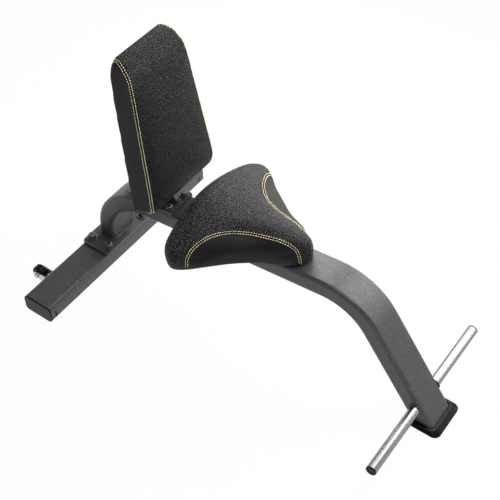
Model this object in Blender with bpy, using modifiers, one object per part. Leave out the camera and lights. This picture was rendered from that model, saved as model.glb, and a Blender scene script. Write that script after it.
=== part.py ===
"""Upright utility bench: a bent flat tube on a rear floor beam, with a leaning backrest,
a saddle-shaped seat, a foot peg bar and two transport wheels.

Metres, +Z up. The user faces +X, so +Y is the left side. Sizes along X are written from the
middle of the rear beam, and bench_origin then moves everything so that the world origin is
under the middle of the whole bench.
"""

import math

import bmesh
import bpy
from mathutils import Matrix, Vector

# Clearance between pieces that touch, and how far a cutter runs past what it cuts
GAP = 0.0003
PAST = 0.004

# Rear floor beam
BEAM_LENGTH = 0.720
BEAM_DEPTH = 0.100
BEAM_HEIGHT = 0.056
BEAM_CORNER = 0.012
BEAM_WALL = 0.003
CAP_FLANGE = 0.005
CAP_BEVEL = 0.0018
CAP_PLUG_DEPTH = 0.032
SLOT_FROM_END = 0.022
SLOT_WIDTH = 0.0045
SLOT_HEIGHT = 0.024
SLOT_BASE = 0.009

# Base plate that the main tube stands on
BASE_PLATE_LENGTH = 0.214
BASE_PLATE_DEPTH = 0.099
BASE_PLATE_THICKNESS = 0.008
BASE_PLATE_CORNER = 0.012
BASE_BOLT_X = 0.0315
BASE_BOLT_Y = 0.079

# Main tube
TUBE_WIDTH = 0.100
TUBE_HEIGHT = 0.055
TUBE_CORNER = 0.012
TUBE_WALL = 0.003
TUBE_BEND = 0.170
TUBE_RISE = math.radians(5.7)
TUBE_AXIS_HEIGHT = 0.254
LEG_ANGLE = math.radians(54.0)
LEG_REACH = 1.089

# Rubber boot under the front leg
BOOT_FLOOR = 0.006
BOOT_RIM = 0.0115
BOOT_LIP = 0.009
BOOT_SPREAD_FRONT = 0.017
BOOT_SPREAD_SIDE = 0.007
BOOT_CORNER = 0.020
BOOT_EDGE = 0.002
BOOT_CLEARANCE = 0.0018

# Foot peg bar
PEG_LENGTH = 0.552
PEG_RADIUS = 0.015
PEG_WALL = 0.002
PEG_HEIGHT = 0.0573
PEG_AHEAD = 0.0107
PEG_CAP_FLANGE = 0.004
PEG_CAP_PLUG = 0.018

# Bracket under the backrest post, on top of the main tube
BRACKET_X = 0.181
BRACKET_LENGTH = 0.170
BRACKET_WIDTH = 0.098
BRACKET_THICKNESS = 0.008
BRACKET_CORNER = 0.006
BRACKET_BOLT_X = 0.065
BRACKET_BOLT_Y = 0.0325

# Backrest pad, whose frame stands on the lower rear edge of the pad; corner radii are seen
# from the front, at the pad's back and at its front
BACK_X = 0.210
BACK_Z = 0.364
BACK_LEAN = math.radians(8.8)
BACK_HEIGHT = 0.462
BACK_HALF_WIDTH = 0.1395
BACK_NARROWING = 0.079
BACK_THICKNESS = 0.0705
BACK_BOTTOM_CORNER = (0.016, 0.026)
BACK_TOP_CORNER = (0.032, 0.008)
BACK_ROLL_HEIGHT = 0.082
BACK_ROLL_START = 0.014
BACK_REAR_DROP = 0.082
BACK_ROLL_POWER = 2.3
BACK_BOTTOM_RADIUS = 0.030
BACK_EDGE_RADIUS = 0.006
BACK_CROWN = 0.006
BACK_DRAW_IN = 0.002
COVER_THICKNESS = 0.003
COVER_INSET = 0.008
BACK_BOARD_THICKNESS = 0.012

# Backrest post and the plate that holds the pad
POST_WIDTH = 0.040
POST_DEPTH = 0.060
POST_CORNER = 0.006
POST_WALL = 0.0025
POST_TOP = 0.262
PLUG_HEAD = 0.004
PLUG_DEPTH = 0.018
RIB_THICKNESS = 0.012
RIB_REACH = 0.032
RIB_HEIGHT = 0.040
RIB_NOSE = 0.008
MOUNT_THICKNESS = 0.005
MOUNT_WIDTH = 0.130
MOUNT_BASE = 0.058
MOUNT_TOP = 0.262
MOUNT_CORNER = 0.010
MOUNT_SCREW_Y = 0.050
MOUNT_SCREW_ROWS = (("lower", 0.084), ("upper", 0.236))

# Seat, measured from SEAT_X along the top of the main tube. Each point of half its outline has
# its reach forward, its half-width and the radius of the cushion's upper edge there.
SEAT_X = 0.500
SEAT_OUTLINE = (
    (-0.167, 0.000, 0.044),
    (-0.165, 0.060, 0.044),
    (-0.158, 0.120, 0.038),
    (-0.143, 0.186, 0.028),
    (-0.107, 0.214, 0.022),
    (-0.070, 0.199, 0.024),
    (-0.028, 0.162, 0.030),
    (0.020, 0.120, 0.030),
    (0.073, 0.084, 0.028),
    (0.126, 0.061, 0.024),
    (0.171, 0.038, 0.022),
    (0.191, 0.000, 0.020),
)
SEAT_SAMPLES = 3
SEAT_TOP_HEIGHT = 0.4245
SEAT_CROWN = (1.32, 6.0)
SEAT_SPINE = (-0.115, 0.135)
SEAT_UNDERCUT = 0.004
SEAT_BOARD_INSET = 0.014
SEAT_BOARD_THICKNESS = 0.015
SEAT_PLATE_THICKNESS = 0.003
SEAT_PLATE_REAR = (-0.150, 0.092)
SEAT_PLATE_FRONT = (0.045, 0.078)
SEAT_PLATE_CORNER = 0.012
SEAT_SCREWS = (("rear", -0.115, 0.076), ("front", 0.020, 0.066))

# Transport wheels
WHEEL_Y = 0.2515
WHEEL_AXLE_X = -0.089
WHEEL_AXLE_Z = 0.031
WHEEL_RADIUS = 0.0225
WHEEL_WIDTH = 0.024
WHEEL_EDGE = 0.003
HUB_RECESS = 0.002
WHEEL_BRACKET_HEIGHT = 0.024
WHEEL_BRACKET_WALL = 0.003
WHEEL_SIDE_PLAY = 0.0015
SPACER_RADIUS = 0.0065
BRACKET_SCREW_Y = 0.008

# Fasteners: shank radius, width across flats, head height, nut height, washer radius and
# washer thickness; a flanged head has the washer's size for its flange
M14 = (0.0070, 0.0210, 0.0088, 0.0110, 0.0172, 0.0030)
M12 = (0.0060, 0.0180, 0.0075, 0.0100, 0.0145, 0.0025)
M8 = (0.0040, 0.0130, 0.0053, 0.0065, 0.0088, 0.0016)
M5 = (0.0025, 0.0080, 0.0020, 0.0045, 0.0050, 0.0010)
# Captive spring washer under the base plate bolts' heads: radius and thickness
SPRING_WASHER = (0.0126, 0.0035)
RIVET_NUT_BARREL = 0.0042
RIVET_NUT_LENGTH = 0.009
BOLT_END = 0.002

# Facets
ROUND = 24
SMALL_ROUND = 16
CORNER_STEPS = 4
BEND_STEPS = 12

# Worked out from the sizes above
BEAM_END = BEAM_LENGTH / 2
PLATE_TOP = BEAM_HEIGHT + GAP + BASE_PLATE_THICKNESS
LEG_SLOPE = math.tan(LEG_ANGLE)
RISE_SLOPE = math.tan(TUBE_RISE)
LEG_SECTION = TUBE_HEIGHT / math.sin(LEG_ANGLE)
BOOT_FRONT = LEG_REACH - BOOT_RIM / LEG_SLOPE + LEG_SECTION / 2 + BOOT_LIP + BOOT_SPREAD_FRONT
WHEEL_REAR = WHEEL_AXLE_X - WHEEL_RADIUS
BENCH_MIDDLE = (BOOT_FRONT + WHEEL_REAR) / 2
BACK_BOARD_X = COVER_THICKNESS + GAP
BACK_BOARD_TOP = BACK_HEIGHT - BACK_REAR_DROP
MOUNT_REAR = COVER_THICKNESS - MOUNT_THICKNESS
POST_FRONT = MOUNT_REAR - GAP
SEAT_BOTTOM = SEAT_PLATE_THICKNESS + 2 * GAP
SIDES = (("left", 1), ("right", -1))
CORNERS = (("front_left", 1, 1), ("front_right", 1, -1), ("rear_left", -1, 1), ("rear_right", -1, -1))

for old in list(bpy.data.objects):
    bpy.data.objects.remove(old, do_unlink=True)

parts = bpy.data.collections.new("upright_utility_bench")
cutters = bpy.data.collections.new("cutters")
for collection in (parts, cutters):
    bpy.context.scene.collection.children.link(collection)


def material(name, colour, roughness, metallic=0.0):
    """A Principled material of one colour."""
    made = bpy.data.materials.new(name)
    made.use_nodes = True
    shader = made.node_tree.nodes["Principled BSDF"]
    shader.inputs["Base Color"].default_value = (*colour, 1.0)
    shader.inputs["Roughness"].default_value = roughness
    shader.inputs["Metallic"].default_value = metallic
    return made


FRAME_PAINT = material("charcoal_powder_coat", (0.10, 0.10, 0.11), 0.45, 0.4)
UPHOLSTERY = material("black_upholstery", (0.012, 0.012, 0.014), 0.5)
BLACK_PLASTIC = material("black_moulded_plastic", (0.02, 0.02, 0.022), 0.45)
RUBBER = material("black_rubber", (0.015, 0.015, 0.016), 0.6)
CHROME = material("bright_chrome", (0.80, 0.80, 0.81), 0.12, 1.0)
ZINC = material("zinc_plated_steel", (0.62, 0.62, 0.64), 0.3, 1.0)
BLACK_STEEL = material("black_oxide_steel", (0.04, 0.04, 0.045), 0.4, 0.9)
PLYWOOD = material("birch_plywood", (0.50, 0.36, 0.20), 0.7)


def frame(name, location, lean=0.0, parent=None):
    """An empty that a group of pieces is placed in, leaning back about Y."""
    empty = bpy.data.objects.new(name, None)
    empty.location = location
    empty.rotation_euler = (0.0, -lean, 0.0)
    empty.parent = parent
    parts.objects.link(empty)
    return empty


def axis_height(x):
    """Height of the main tube's straight centreline."""
    return TUBE_AXIS_HEIGHT + x * RISE_SLOPE


def top_point(x):
    """The point on top of the main tube whose foot on its centreline is at x."""
    half = TUBE_HEIGHT / 2
    return (x - half * math.sin(TUBE_RISE), 0.0, axis_height(x) + half * math.cos(TUBE_RISE))


bench = frame("bench_origin", (-BENCH_MIDDLE, 0.0, 0.0))
bracket_frame = frame("bracket_frame", top_point(BRACKET_X), TUBE_RISE, bench)
seat_frame = frame("seat_frame", top_point(SEAT_X), TUBE_RISE, bench)
back_frame = frame("backrest_frame", (BACK_X, 0.0, BACK_Z), BACK_LEAN, bench)

# Turns an extrusion along Z so that it runs along X or Y, with its own X to the front or left
ALONG_X = Matrix(((0, 0, 1, 0), (1, 0, 0, 0), (0, 1, 0, 0), (0, 0, 0, 1)))
ALONG_Y = Matrix(((1, 0, 0, 0), (0, 0, -1, 0), (0, 1, 0, 0), (0, 0, 0, 1)))


def add(name, mesh, look, parent, location=(0.0, 0.0, 0.0), turn=Matrix(), group=parts):
    """One named object from a mesh, which other objects may share."""
    if look is not None and not mesh.materials:
        mesh.name = name
        mesh.materials.append(look)
        mesh.shade_smooth()
        mesh.set_sharp_from_angle(angle=math.radians(30))
    made = bpy.data.objects.new(name, mesh)
    made.location = location
    made.rotation_euler = turn.to_euler()
    made.parent = parent
    group.objects.link(made)
    return made


def cutter(name, mesh, parent, location=(0.0, 0.0, 0.0)):
    """A shape that only cuts others, left out of the build."""
    made = add(name, mesh, None, parent, location, group=cutters)
    made.hide_render = True
    made.display_type = "WIRE"
    return made


def boolean(target, tool, operation="DIFFERENCE"):
    """Cuts the tool out of the target, or joins it on."""
    modifier = target.modifiers.new(tool.name, "BOOLEAN")
    modifier.operation = operation
    modifier.solver = "EXACT"
    modifier.object = tool


def evaluated_mesh(source):
    """The mesh that an object shows, with loose caps welded; the object is removed."""
    bpy.context.view_layer.update()
    seen = source.evaluated_get(bpy.context.evaluated_depsgraph_get())
    mesh = bpy.data.meshes.new_from_object(seen)
    bpy.data.objects.remove(source, do_unlink=True)
    shape = bmesh.new()
    shape.from_mesh(mesh)
    bmesh.ops.remove_doubles(shape, verts=shape.verts, dist=0.00001)
    bmesh.ops.recalc_face_normals(shape, faces=shape.faces)
    shape.to_mesh(mesh)
    shape.free()
    return mesh


def extrusion(outlines, length, turn=Matrix(), filled=True):
    """Flat outlines, the first one outside and the rest holes in it, drawn out along +Z."""
    curve = bpy.data.curves.new("outline", "CURVE")
    curve.dimensions = "2D"
    curve.fill_mode = "BOTH" if filled else "NONE"
    curve.extrude = length / 2
    for outline in outlines:
        spline = curve.splines.new("POLY")
        spline.points.add(len(outline) - 1)
        for point, place in zip(spline.points, outline):
            point.co = (place[0], place[1], 0.0, 1.0)
        spline.use_cyclic_u = True
    source = bpy.data.objects.new("outline", curve)
    parts.objects.link(source)
    mesh = evaluated_mesh(source)
    mesh.transform(turn @ Matrix.Translation((0.0, 0.0, length / 2)))
    return mesh


def circle(radius, centre=(0.0, 0.0), sides=ROUND):
    """Points round a circle, with a flat side on each axis."""
    turns = [(i + 0.5) * math.tau / sides for i in range(sides)]
    return [(centre[0] + radius * math.cos(a), centre[1] + radius * math.sin(a)) for a in turns]


def circles(radius, centres, sides=ROUND):
    """One circle round each centre."""
    return [circle(radius, centre, sides) for centre in centres]


def hexagon(across_flats):
    """A hexagon, by the distance between two of its sides."""
    return circle(across_flats / math.sqrt(3), sides=6)


def rounded(corners, radii, steps=CORNER_STEPS):
    """A polygon with an arc of its own radius at each corner; a radius of 0 keeps the corner."""
    outline = []
    count = len(corners)
    for i, radius in enumerate(radii):
        corner = Vector(corners[i])
        before = (Vector(corners[i - 1]) - corner).normalized()
        after = (Vector(corners[(i + 1) % count]) - corner).normalized()
        if radius == 0.0:
            outline.append(tuple(corner))
            continue
        half_angle = before.angle(after) / 2
        centre = corner + (before + after).normalized() * (radius / math.sin(half_angle))
        start = corner + before * (radius / math.tan(half_angle)) - centre
        sweep = math.pi - 2 * half_angle
        if before.cross(after) > 0:
            sweep = -sweep
        for step in range(steps + 1):
            turned = Matrix.Rotation(sweep * step / steps, 2) @ start
            outline.append(tuple(centre + turned))
    return outline


def rounded_box(width, height, radius, middle=(0.0, 0.0)):
    """A rectangle with round corners."""
    x, y = width / 2, height / 2
    corners = [(middle[0] + a * x, middle[1] + b * y) for a, b in ((-1, -1), (1, -1), (1, 1), (-1, 1))]
    return rounded(corners, [radius] * 4)


def mirrored(half):
    """A closed outline from the half of it that runs between two points on the mirror line."""
    return list(half) + [(x, -y) for x, y in reversed(half[1:-1])]


def turned(profile, sides=ROUND, turn=Matrix()):
    """A ring turned about Z from its closed profile of radius and height."""
    mesh = bpy.data.meshes.new("profile")
    edges = [(i, (i + 1) % len(profile)) for i in range(len(profile))]
    mesh.from_pydata([(radius, 0.0, height) for radius, height in profile], edges, [])
    source = bpy.data.objects.new("profile", mesh)
    parts.objects.link(source)
    screw = source.modifiers.new("turn", "SCREW")
    screw.steps = sides
    screw.render_steps = sides
    screw.use_merge_vertices = True
    screw.merge_threshold = 0.00001
    ring = evaluated_mesh(source)
    bpy.data.meshes.remove(mesh)
    ring.transform(turn)
    return ring


def joined(first, *others):
    """One solid from meshes that overlap."""
    base = bpy.data.objects.new("base", first)
    parts.objects.link(base)
    tools = [cutter(f"join_{i}", mesh, None) for i, mesh in enumerate(others)]
    for tool in tools:
        boolean(base, tool, "UNION")
    mesh = evaluated_mesh(base)
    for tool in tools:
        bpy.data.objects.remove(tool, do_unlink=True)
    return mesh


def moved(mesh, x=0.0, y=0.0, z=0.0):
    """The same mesh, shifted."""
    mesh.transform(Matrix.Translation((x, y, z)))
    return mesh


def loft(rings):
    """A closed solid through rings of as many points each, mirror-symmetric in Y and starting
    on the mirror line. Strips that run straight across from side to side close each end."""
    shape = bmesh.new()
    rows = [[shape.verts.new(point) for point in ring] for ring in rings]
    count = len(rows[0])
    for lower, upper in zip(rows[:-1], rows[1:]):
        for i in range(count):
            k = (i + 1) % count
            shape.faces.new((lower[i], lower[k], upper[k], upper[i]))
    middle = count // 2
    for row in (rows[0], rows[-1]):
        shape.faces.new(row[-2:] + row[:3])
        shape.faces.new(row[middle - 2:middle + 3])
        for i in range(2, middle - 2):
            shape.faces.new((row[i], row[i + 1], row[-i - 1], row[-i]))
    bmesh.ops.recalc_face_normals(shape, faces=shape.faces)
    mesh = bpy.data.meshes.new("loft")
    shape.to_mesh(mesh)
    shape.free()
    return mesh


def inward(outline, distances):
    """A closed anticlockwise outline with each point moved inwards by its own distance."""
    inner = []
    for i, (point, distance) in enumerate(zip(outline, distances)):
        along = Vector(outline[(i + 1) % len(outline)]) - Vector(outline[i - 1])
        normal = Vector((-along.y, along.x)).normalized()
        inner.append(tuple(Vector(point) + normal * distance))
    return inner


def bolt(size, length, under=None):
    """A hexagon bolt along Z: its head stands above 0 and its shank hangs below. A flange or a
    captive spring washer may lie under the head, with a radius and a thickness."""
    radius, across, head = size[:3]
    shank = moved(extrusion([circle(radius, sides=SMALL_ROUND)], length + head / 2), z=-length)
    if under is None:
        return joined(extrusion([hexagon(across)], head), shank)
    disc = extrusion([circle(under[0], sides=SMALL_ROUND)], under[1])
    return joined(extrusion([hexagon(across)], head + under[1]), disc, shank)


def washer(size):
    """A flat washer above 0."""
    return extrusion([circle(size[4]), circle(size[0] + GAP, sides=SMALL_ROUND)], size[5])


def weld_nuts(size, centres, wall):
    """Hexagons under a wall whose outer face is at 0. They sink a little into it, and are
    drilled together with it."""
    sink = wall * 0.8
    height = size[3] + wall - sink
    hexagons = [[(x + a, y + b) for a, b in hexagon(size[1])] for x, y in centres]
    return moved(extrusion(hexagons, height), z=-sink - height)


def corner_spots(x, y, z):
    """Named corners of a bolt pattern, at one height."""
    return [(name, (a * x, b * y, z)) for name, a, b in CORNERS]


def plan(spots):
    """The same spots seen from above."""
    return [(place[0], place[1]) for _, place in spots]


def copies(stem, mesh, look, parent, spots, lift=0.0, turn=Matrix()):
    """One object at each named spot, raised along its own Z, all sharing a mesh."""
    raise_by = turn.to_3x3() @ Vector((0.0, 0.0, lift))
    for name, place in spots:
        add(f"{stem}_{name}", mesh, look, parent, Vector(place) + raise_by, turn)


def rear_beam():
    """Floor beam, its end caps, and the plate bolted on top of it."""
    tube_length = BEAM_LENGTH - 2 * (CAP_FLANGE + GAP)
    section = rounded_box(BEAM_DEPTH, BEAM_HEIGHT, BEAM_CORNER)
    shell = moved(extrusion([section], tube_length, ALONG_Y, filled=False), y=tube_length / 2)
    beam = add("rear_crossbeam", shell, FRAME_PAINT, bench, (0.0, 0.0, BEAM_HEIGHT / 2))
    wall = beam.modifiers.new("wall", "SOLIDIFY")
    wall.thickness = BEAM_WALL
    wall.offset = -1.0
    wall.use_even_offset = True

    # Nuts for the base plate are welded under the top wall, and rivet nuts sit in the rear wall
    bolts = corner_spots(BASE_BOLT_X, BASE_BOLT_Y, PLATE_TOP)
    nuts = cutter("beam_weld_nuts", weld_nuts(M14, plan(bolts), BEAM_WALL), bench, (0, 0, BEAM_HEIGHT))
    boolean(beam, nuts, "UNION")
    screws = [(sign * WHEEL_Y + k * BRACKET_SCREW_Y, WHEEL_AXLE_Z) for _, sign in SIDES for k in (-1, 1)]
    barrels = extrusion(circles(RIVET_NUT_BARREL, screws, SMALL_ROUND), RIVET_NUT_LENGTH, ALONG_X)
    barrels = cutter("beam_rivet_nuts", barrels, bench, (-BEAM_DEPTH / 2 + BEAM_WALL / 2, 0, 0))
    boolean(beam, barrels, "UNION")

    drill = extrusion(circles(M14[0] + GAP, plan(bolts), SMALL_ROUND), BEAM_HEIGHT / 2)
    boolean(beam, cutter("beam_bolt_holes", drill, bench, (0, 0, BEAM_HEIGHT / 2 + PAST)))
    drill = extrusion(circles(M5[0] + GAP, screws, SMALL_ROUND), RIVET_NUT_LENGTH + 3 * PAST, ALONG_X)
    boolean(beam, cutter("bracket_screw_holes", drill, bench, (-BEAM_DEPTH / 2 - PAST, 0, 0)))
    slot = rounded_box(SLOT_WIDTH, SLOT_HEIGHT, SLOT_WIDTH * 0.4)
    for side, sign in SIDES:
        place = (0.0, sign * (BEAM_END - SLOT_FROM_END), SLOT_BASE + SLOT_HEIGHT / 2)
        boolean(beam, cutter(f"slot_{side}", extrusion([slot], BEAM_DEPTH, ALONG_X), bench, place))

    inset = 2 * (BEAM_WALL + GAP)
    plug = rounded_box(BEAM_DEPTH - inset, BEAM_HEIGHT - inset, BEAM_CORNER - BEAM_WALL - GAP)
    for side, sign in SIDES:
        flange = add("flange", extrusion([section], CAP_FLANGE), None, None)
        edge = flange.modifiers.new("edge", "BEVEL")
        edge.width = CAP_BEVEL
        edge.segments = 2
        edge.limit_method = "ANGLE"
        edge.angle_limit = math.radians(60)
        half = CAP_FLANGE / 2
        cap = joined(evaluated_mesh(flange), moved(extrusion([plug], CAP_PLUG_DEPTH + half), z=half))
        # The flange's outer face is the end of the beam, and the plug points inwards
        inwards = ALONG_Y if sign > 0 else Matrix.Rotation(math.pi, 4, "Z") @ ALONG_Y
        place = (0.0, sign * BEAM_END, BEAM_HEIGHT / 2)
        add(f"crossbeam_end_cap_{side}", cap, BLACK_PLASTIC, bench, place, inwards)

    outline = rounded_box(BASE_PLATE_DEPTH, BASE_PLATE_LENGTH, BASE_PLATE_CORNER)
    holes = circles(M14[0] + GAP, plan(bolts), SMALL_ROUND)
    plate = extrusion([outline, *holes], BASE_PLATE_THICKNESS)
    add("rear_base_plate", plate, FRAME_PAINT, bench, (0.0, 0.0, BEAM_HEIGHT + GAP))
    copies("base_plate_washer", washer(M14), BLACK_STEEL, bench, bolts, GAP)
    under_head = M14[5] + 2 * GAP
    length = under_head + BASE_PLATE_THICKNESS + GAP + BEAM_WALL + M14[3] + BOLT_END
    copies("base_plate_bolt", bolt(M14, length, SPRING_WASHER), BLACK_STEEL, bench, bolts, under_head)


def tube_path():
    """Centreline of the main tube in the X-Z plane, from the base plate to below the floor."""
    first = (TUBE_BEND, axis_height(TUBE_BEND) - TUBE_BEND / math.cos(TUBE_RISE))
    corner_x = (LEG_REACH * LEG_SLOPE - TUBE_AXIS_HEIGHT) / (RISE_SLOPE + LEG_SLOPE)
    setback = TUBE_BEND * math.tan((TUBE_RISE + LEG_ANGLE) / 2)
    start_x = corner_x - setback * math.cos(TUBE_RISE)
    second = (start_x + TUBE_BEND * math.sin(TUBE_RISE),
              axis_height(start_x) - TUBE_BEND * math.cos(TUBE_RISE))
    level = math.pi / 2 + TUBE_RISE
    path = [(0.0, PLATE_TOP + GAP)]
    for centre, begin, end in ((first, math.pi, level), (second, level, math.pi / 2 - LEG_ANGLE)):
        steps = max(6, round(BEND_STEPS * abs(end - begin) / (math.pi / 2)))
        for i in range(steps + 1):
            angle = begin + (end - begin) * i / steps
            path.append((centre[0] + TUBE_BEND * math.cos(angle), centre[1] + TUBE_BEND * math.sin(angle)))
    path.append((LEG_REACH + 0.05, -0.05 * LEG_SLOPE))
    return path


def main_tube():
    """The bent tube, cut level at its foot and drilled for the bracket bolts and the peg bar."""
    section = bpy.data.curves.new("tube_section", "CURVE")
    section.dimensions = "2D"
    outline = rounded_box(TUBE_HEIGHT, TUBE_WIDTH, TUBE_CORNER)
    spline = section.splines.new("POLY")
    spline.points.add(len(outline) - 1)
    for point, place in zip(spline.points, outline):
        point.co = (place[0], place[1], 0.0, 1.0)
    spline.use_cyclic_u = True
    profile = bpy.data.objects.new("tube_section", section)
    parts.objects.link(profile)

    path = bpy.data.curves.new("tube_path", "CURVE")
    path.dimensions = "3D"
    path.twist_mode = "MINIMUM"
    path.bevel_mode = "OBJECT"
    path.bevel_object = profile
    places = tube_path()
    spline = path.splines.new("POLY")
    spline.points.add(len(places) - 1)
    for point, (x, z) in zip(spline.points, places):
        point.co = (x, 0.0, z, 1.0)
    sweep = bpy.data.objects.new("tube_path", path)
    parts.objects.link(sweep)
    mesh = evaluated_mesh(sweep)
    bpy.data.objects.remove(profile, do_unlink=True)

    tube = add("main_tube", mesh, FRAME_PAINT, bench)
    wall = tube.modifiers.new("wall", "SOLIDIFY")
    wall.thickness = TUBE_WALL
    wall.offset = -1.0
    wall.use_even_offset = True

    # Nuts for the backrest bracket are welded under the top wall
    bolts = plan(corner_spots(BRACKET_BOLT_X, BRACKET_BOLT_Y, 0.0))
    nuts = cutter("tube_weld_nuts", weld_nuts(M12, bolts, TUBE_WALL), bracket_frame)
    boolean(tube, nuts, "UNION")
    drill = extrusion(circles(M12[0] + GAP, bolts, SMALL_ROUND), TUBE_HEIGHT / 2 + PAST)
    boolean(tube, cutter("bracket_bolt_holes", drill, bracket_frame, (0.0, 0.0, -TUBE_HEIGHT / 2)))
    below = extrusion([rounded_box(0.5, 0.3, 0.01)], 0.3)
    boolean(tube, cutter("floor_cut", below, bench, (LEG_REACH, 0.0, BOOT_FLOOR + GAP - 0.3)))
    bore = extrusion([circle(PEG_RADIUS + GAP)], TUBE_WIDTH + 2 * PAST, ALONG_Y)
    boolean(tube, cutter("peg_bore", bore, bench, (peg_x(), TUBE_WIDTH / 2 + PAST, PEG_HEIGHT)))


def peg_x():
    """The peg bar sits a little ahead of the leg's centreline."""
    return LEG_REACH - PEG_HEIGHT / LEG_SLOPE + PEG_AHEAD


def foot_pegs():
    """One bar through the leg, with a plug in each end."""
    length = PEG_LENGTH - 2 * (PEG_CAP_FLANGE + GAP)
    bar = extrusion([circle(PEG_RADIUS), circle(PEG_RADIUS - PEG_WALL)], length, ALONG_Y)
    add("foot_peg_bar", bar, CHROME, bench, (peg_x(), length / 2, PEG_HEIGHT))
    plug = PEG_RADIUS - PEG_WALL - GAP
    hollow = plug - 0.002
    profile = [
        (hollow, -PEG_CAP_PLUG - PEG_CAP_FLANGE),
        (plug, -PEG_CAP_PLUG - PEG_CAP_FLANGE),
        (plug, -PEG_CAP_FLANGE),
        (PEG_RADIUS, -PEG_CAP_FLANGE),
        (PEG_RADIUS, -0.0012),
        (PEG_RADIUS - 0.0012, 0.0),
    ]
    for side, sign in SIDES:
        ring = turned([*profile, (hollow, 0.0)])
        web = moved(extrusion([circle(PEG_RADIUS - 0.001)], PEG_CAP_FLANGE / 2), z=-PEG_CAP_FLANGE * 0.9)
        outward = Matrix.Rotation(-sign * math.pi / 2, 4, "X")
        place = (peg_x(), sign * PEG_LENGTH / 2, PEG_HEIGHT)
        add(f"peg_end_cap_{side}", joined(ring, web), BLACK_PLASTIC, bench, place, outward)


def leg_outline(grow):
    """The leg's level section, drawn out along X by the slope, grown all round."""
    half = rounded_box(TUBE_HEIGHT + 2 * grow, TUBE_WIDTH + 2 * grow, TUBE_CORNER + grow)
    return [(x / math.sin(LEG_ANGLE), y) for x, y in half]


def leg_x(z):
    """Where the leg's centreline is at a height."""
    return LEG_REACH - z / LEG_SLOPE


def front_boot():
    """Low rubber cup with spreading walls, cut to take the foot of the leg."""
    rim_rear = leg_x(BOOT_RIM) - LEG_SECTION / 2 - BOOT_LIP
    rim_front = leg_x(BOOT_RIM) + LEG_SECTION / 2 + BOOT_LIP
    rim_side = TUBE_WIDTH / 2 + BOOT_LIP

    def ring(spread, z, inset=0.0):
        """The boot's outline at one height, for a share of its full spread."""
        rear = rim_rear - spread * BOOT_SPREAD_SIDE + inset
        front = rim_front + spread * BOOT_SPREAD_FRONT - inset
        side = rim_side + spread * BOOT_SPREAD_SIDE - inset
        half = rounded([(rear, 0.0), (rear, -side), (front, -side), (front, 0.0)],
                       [0.0, BOOT_CORNER - inset, BOOT_CORNER - inset, 0.0], 5)
        return [(x, y, z) for x, y in mirrored(half)]

    body = loft([
        ring(1.0, 0.0, BOOT_EDGE / 2),
        ring(1.0, BOOT_EDGE),
        ring(0.15, BOOT_RIM - BOOT_EDGE),
        ring(0.0, BOOT_RIM, BOOT_EDGE / 2),
    ])
    boot = add("front_foot_boot", body, RUBBER, bench)
    height = BOOT_RIM - BOOT_FLOOR + PAST
    pocket = extrusion([leg_outline(BOOT_CLEARANCE)], height)
    shear = Matrix.Identity(4)
    shear[0][2] = -1 / LEG_SLOPE
    pocket.transform(shear)
    boolean(boot, cutter("boot_pocket", pocket, bench, (leg_x(BOOT_FLOOR), 0.0, BOOT_FLOOR)))


def backrest_bracket():
    """Bolted plate on the main tube, with the post and the rib that stand on it."""
    top = GAP + BRACKET_THICKNESS
    bolts = corner_spots(BRACKET_BOLT_X, BRACKET_BOLT_Y, top)
    outline = rounded_box(BRACKET_LENGTH, BRACKET_WIDTH, BRACKET_CORNER)
    holes = circles(M12[0] + GAP, plan(bolts), SMALL_ROUND)
    plate = extrusion([outline, *holes], BRACKET_THICKNESS)
    add("backrest_bracket_plate", plate, FRAME_PAINT, bracket_frame, (0.0, 0.0, GAP))
    copies("bracket_washer", washer(M12), BLACK_STEEL, bracket_frame, bolts, GAP)
    under_head = M12[5] + 2 * GAP
    length = under_head + top + TUBE_WALL + M12[3] + BOLT_END
    copies("bracket_bolt", bolt(M12, length), BLACK_STEEL, bracket_frame, bolts, under_head)

    middle = (POST_FRONT - POST_DEPTH / 2, 0.0)
    outer = rounded_box(POST_DEPTH, POST_WIDTH, POST_CORNER, middle)
    walls = 2 * POST_WALL
    inner = rounded_box(POST_DEPTH - walls, POST_WIDTH - walls, POST_CORNER - POST_WALL, middle)
    post = extrusion([outer, inner], BACK_Z + POST_TOP)
    post = add("backrest_post", post, FRAME_PAINT, back_frame, (0.0, 0.0, -BACK_Z))
    below = extrusion([rounded_box(0.6, 0.3, 0.01)], 0.6)
    boolean(post, cutter("post_base_cut", below, bracket_frame, (0.0, 0.0, top + GAP - 0.6)))

    walls = 2 * (POST_WALL + GAP)
    stem = rounded_box(POST_DEPTH - walls, POST_WIDTH - walls, POST_CORNER - POST_WALL - GAP, middle)
    stem = moved(extrusion([stem], PLUG_DEPTH + PLUG_HEAD / 2), z=-PLUG_DEPTH)
    plug = joined(extrusion([outer], PLUG_HEAD), stem)
    add("post_top_plug", plug, BLACK_PLASTIC, back_frame, (0.0, 0.0, POST_TOP + GAP))

    # The rib's upright edge follows the post, and its lower edge lies on the bracket plate
    to_bracket = (Matrix.Rotation(TUBE_RISE, 4, "Y")
                  @ Matrix.Translation(Vector((BACK_X, 0.0, BACK_Z)) - Vector(top_point(BRACKET_X)))
                  @ Matrix.Rotation(-BACK_LEAN, 4, "Y"))
    foot = to_bracket @ Vector((POST_FRONT + GAP, 0.0, 0.0))
    lean = math.tan(BACK_LEAN - TUBE_RISE)
    base = top + GAP
    foot_x = foot.x + (foot.z - base) * lean
    corners = [
        (foot_x, base),
        (foot_x + RIB_REACH, base),
        (foot_x + RIB_REACH, base + RIB_NOSE),
        (foot_x + RIB_NOSE - RIB_HEIGHT * lean, base + RIB_HEIGHT),
        (foot_x - RIB_HEIGHT * lean, base + RIB_HEIGHT),
    ]
    rib = extrusion([corners], RIB_THICKNESS, ALONG_Y)
    add("backrest_post_rib", rib, FRAME_PAINT, bracket_frame, (0.0, RIB_THICKNESS / 2, 0.0))


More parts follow.
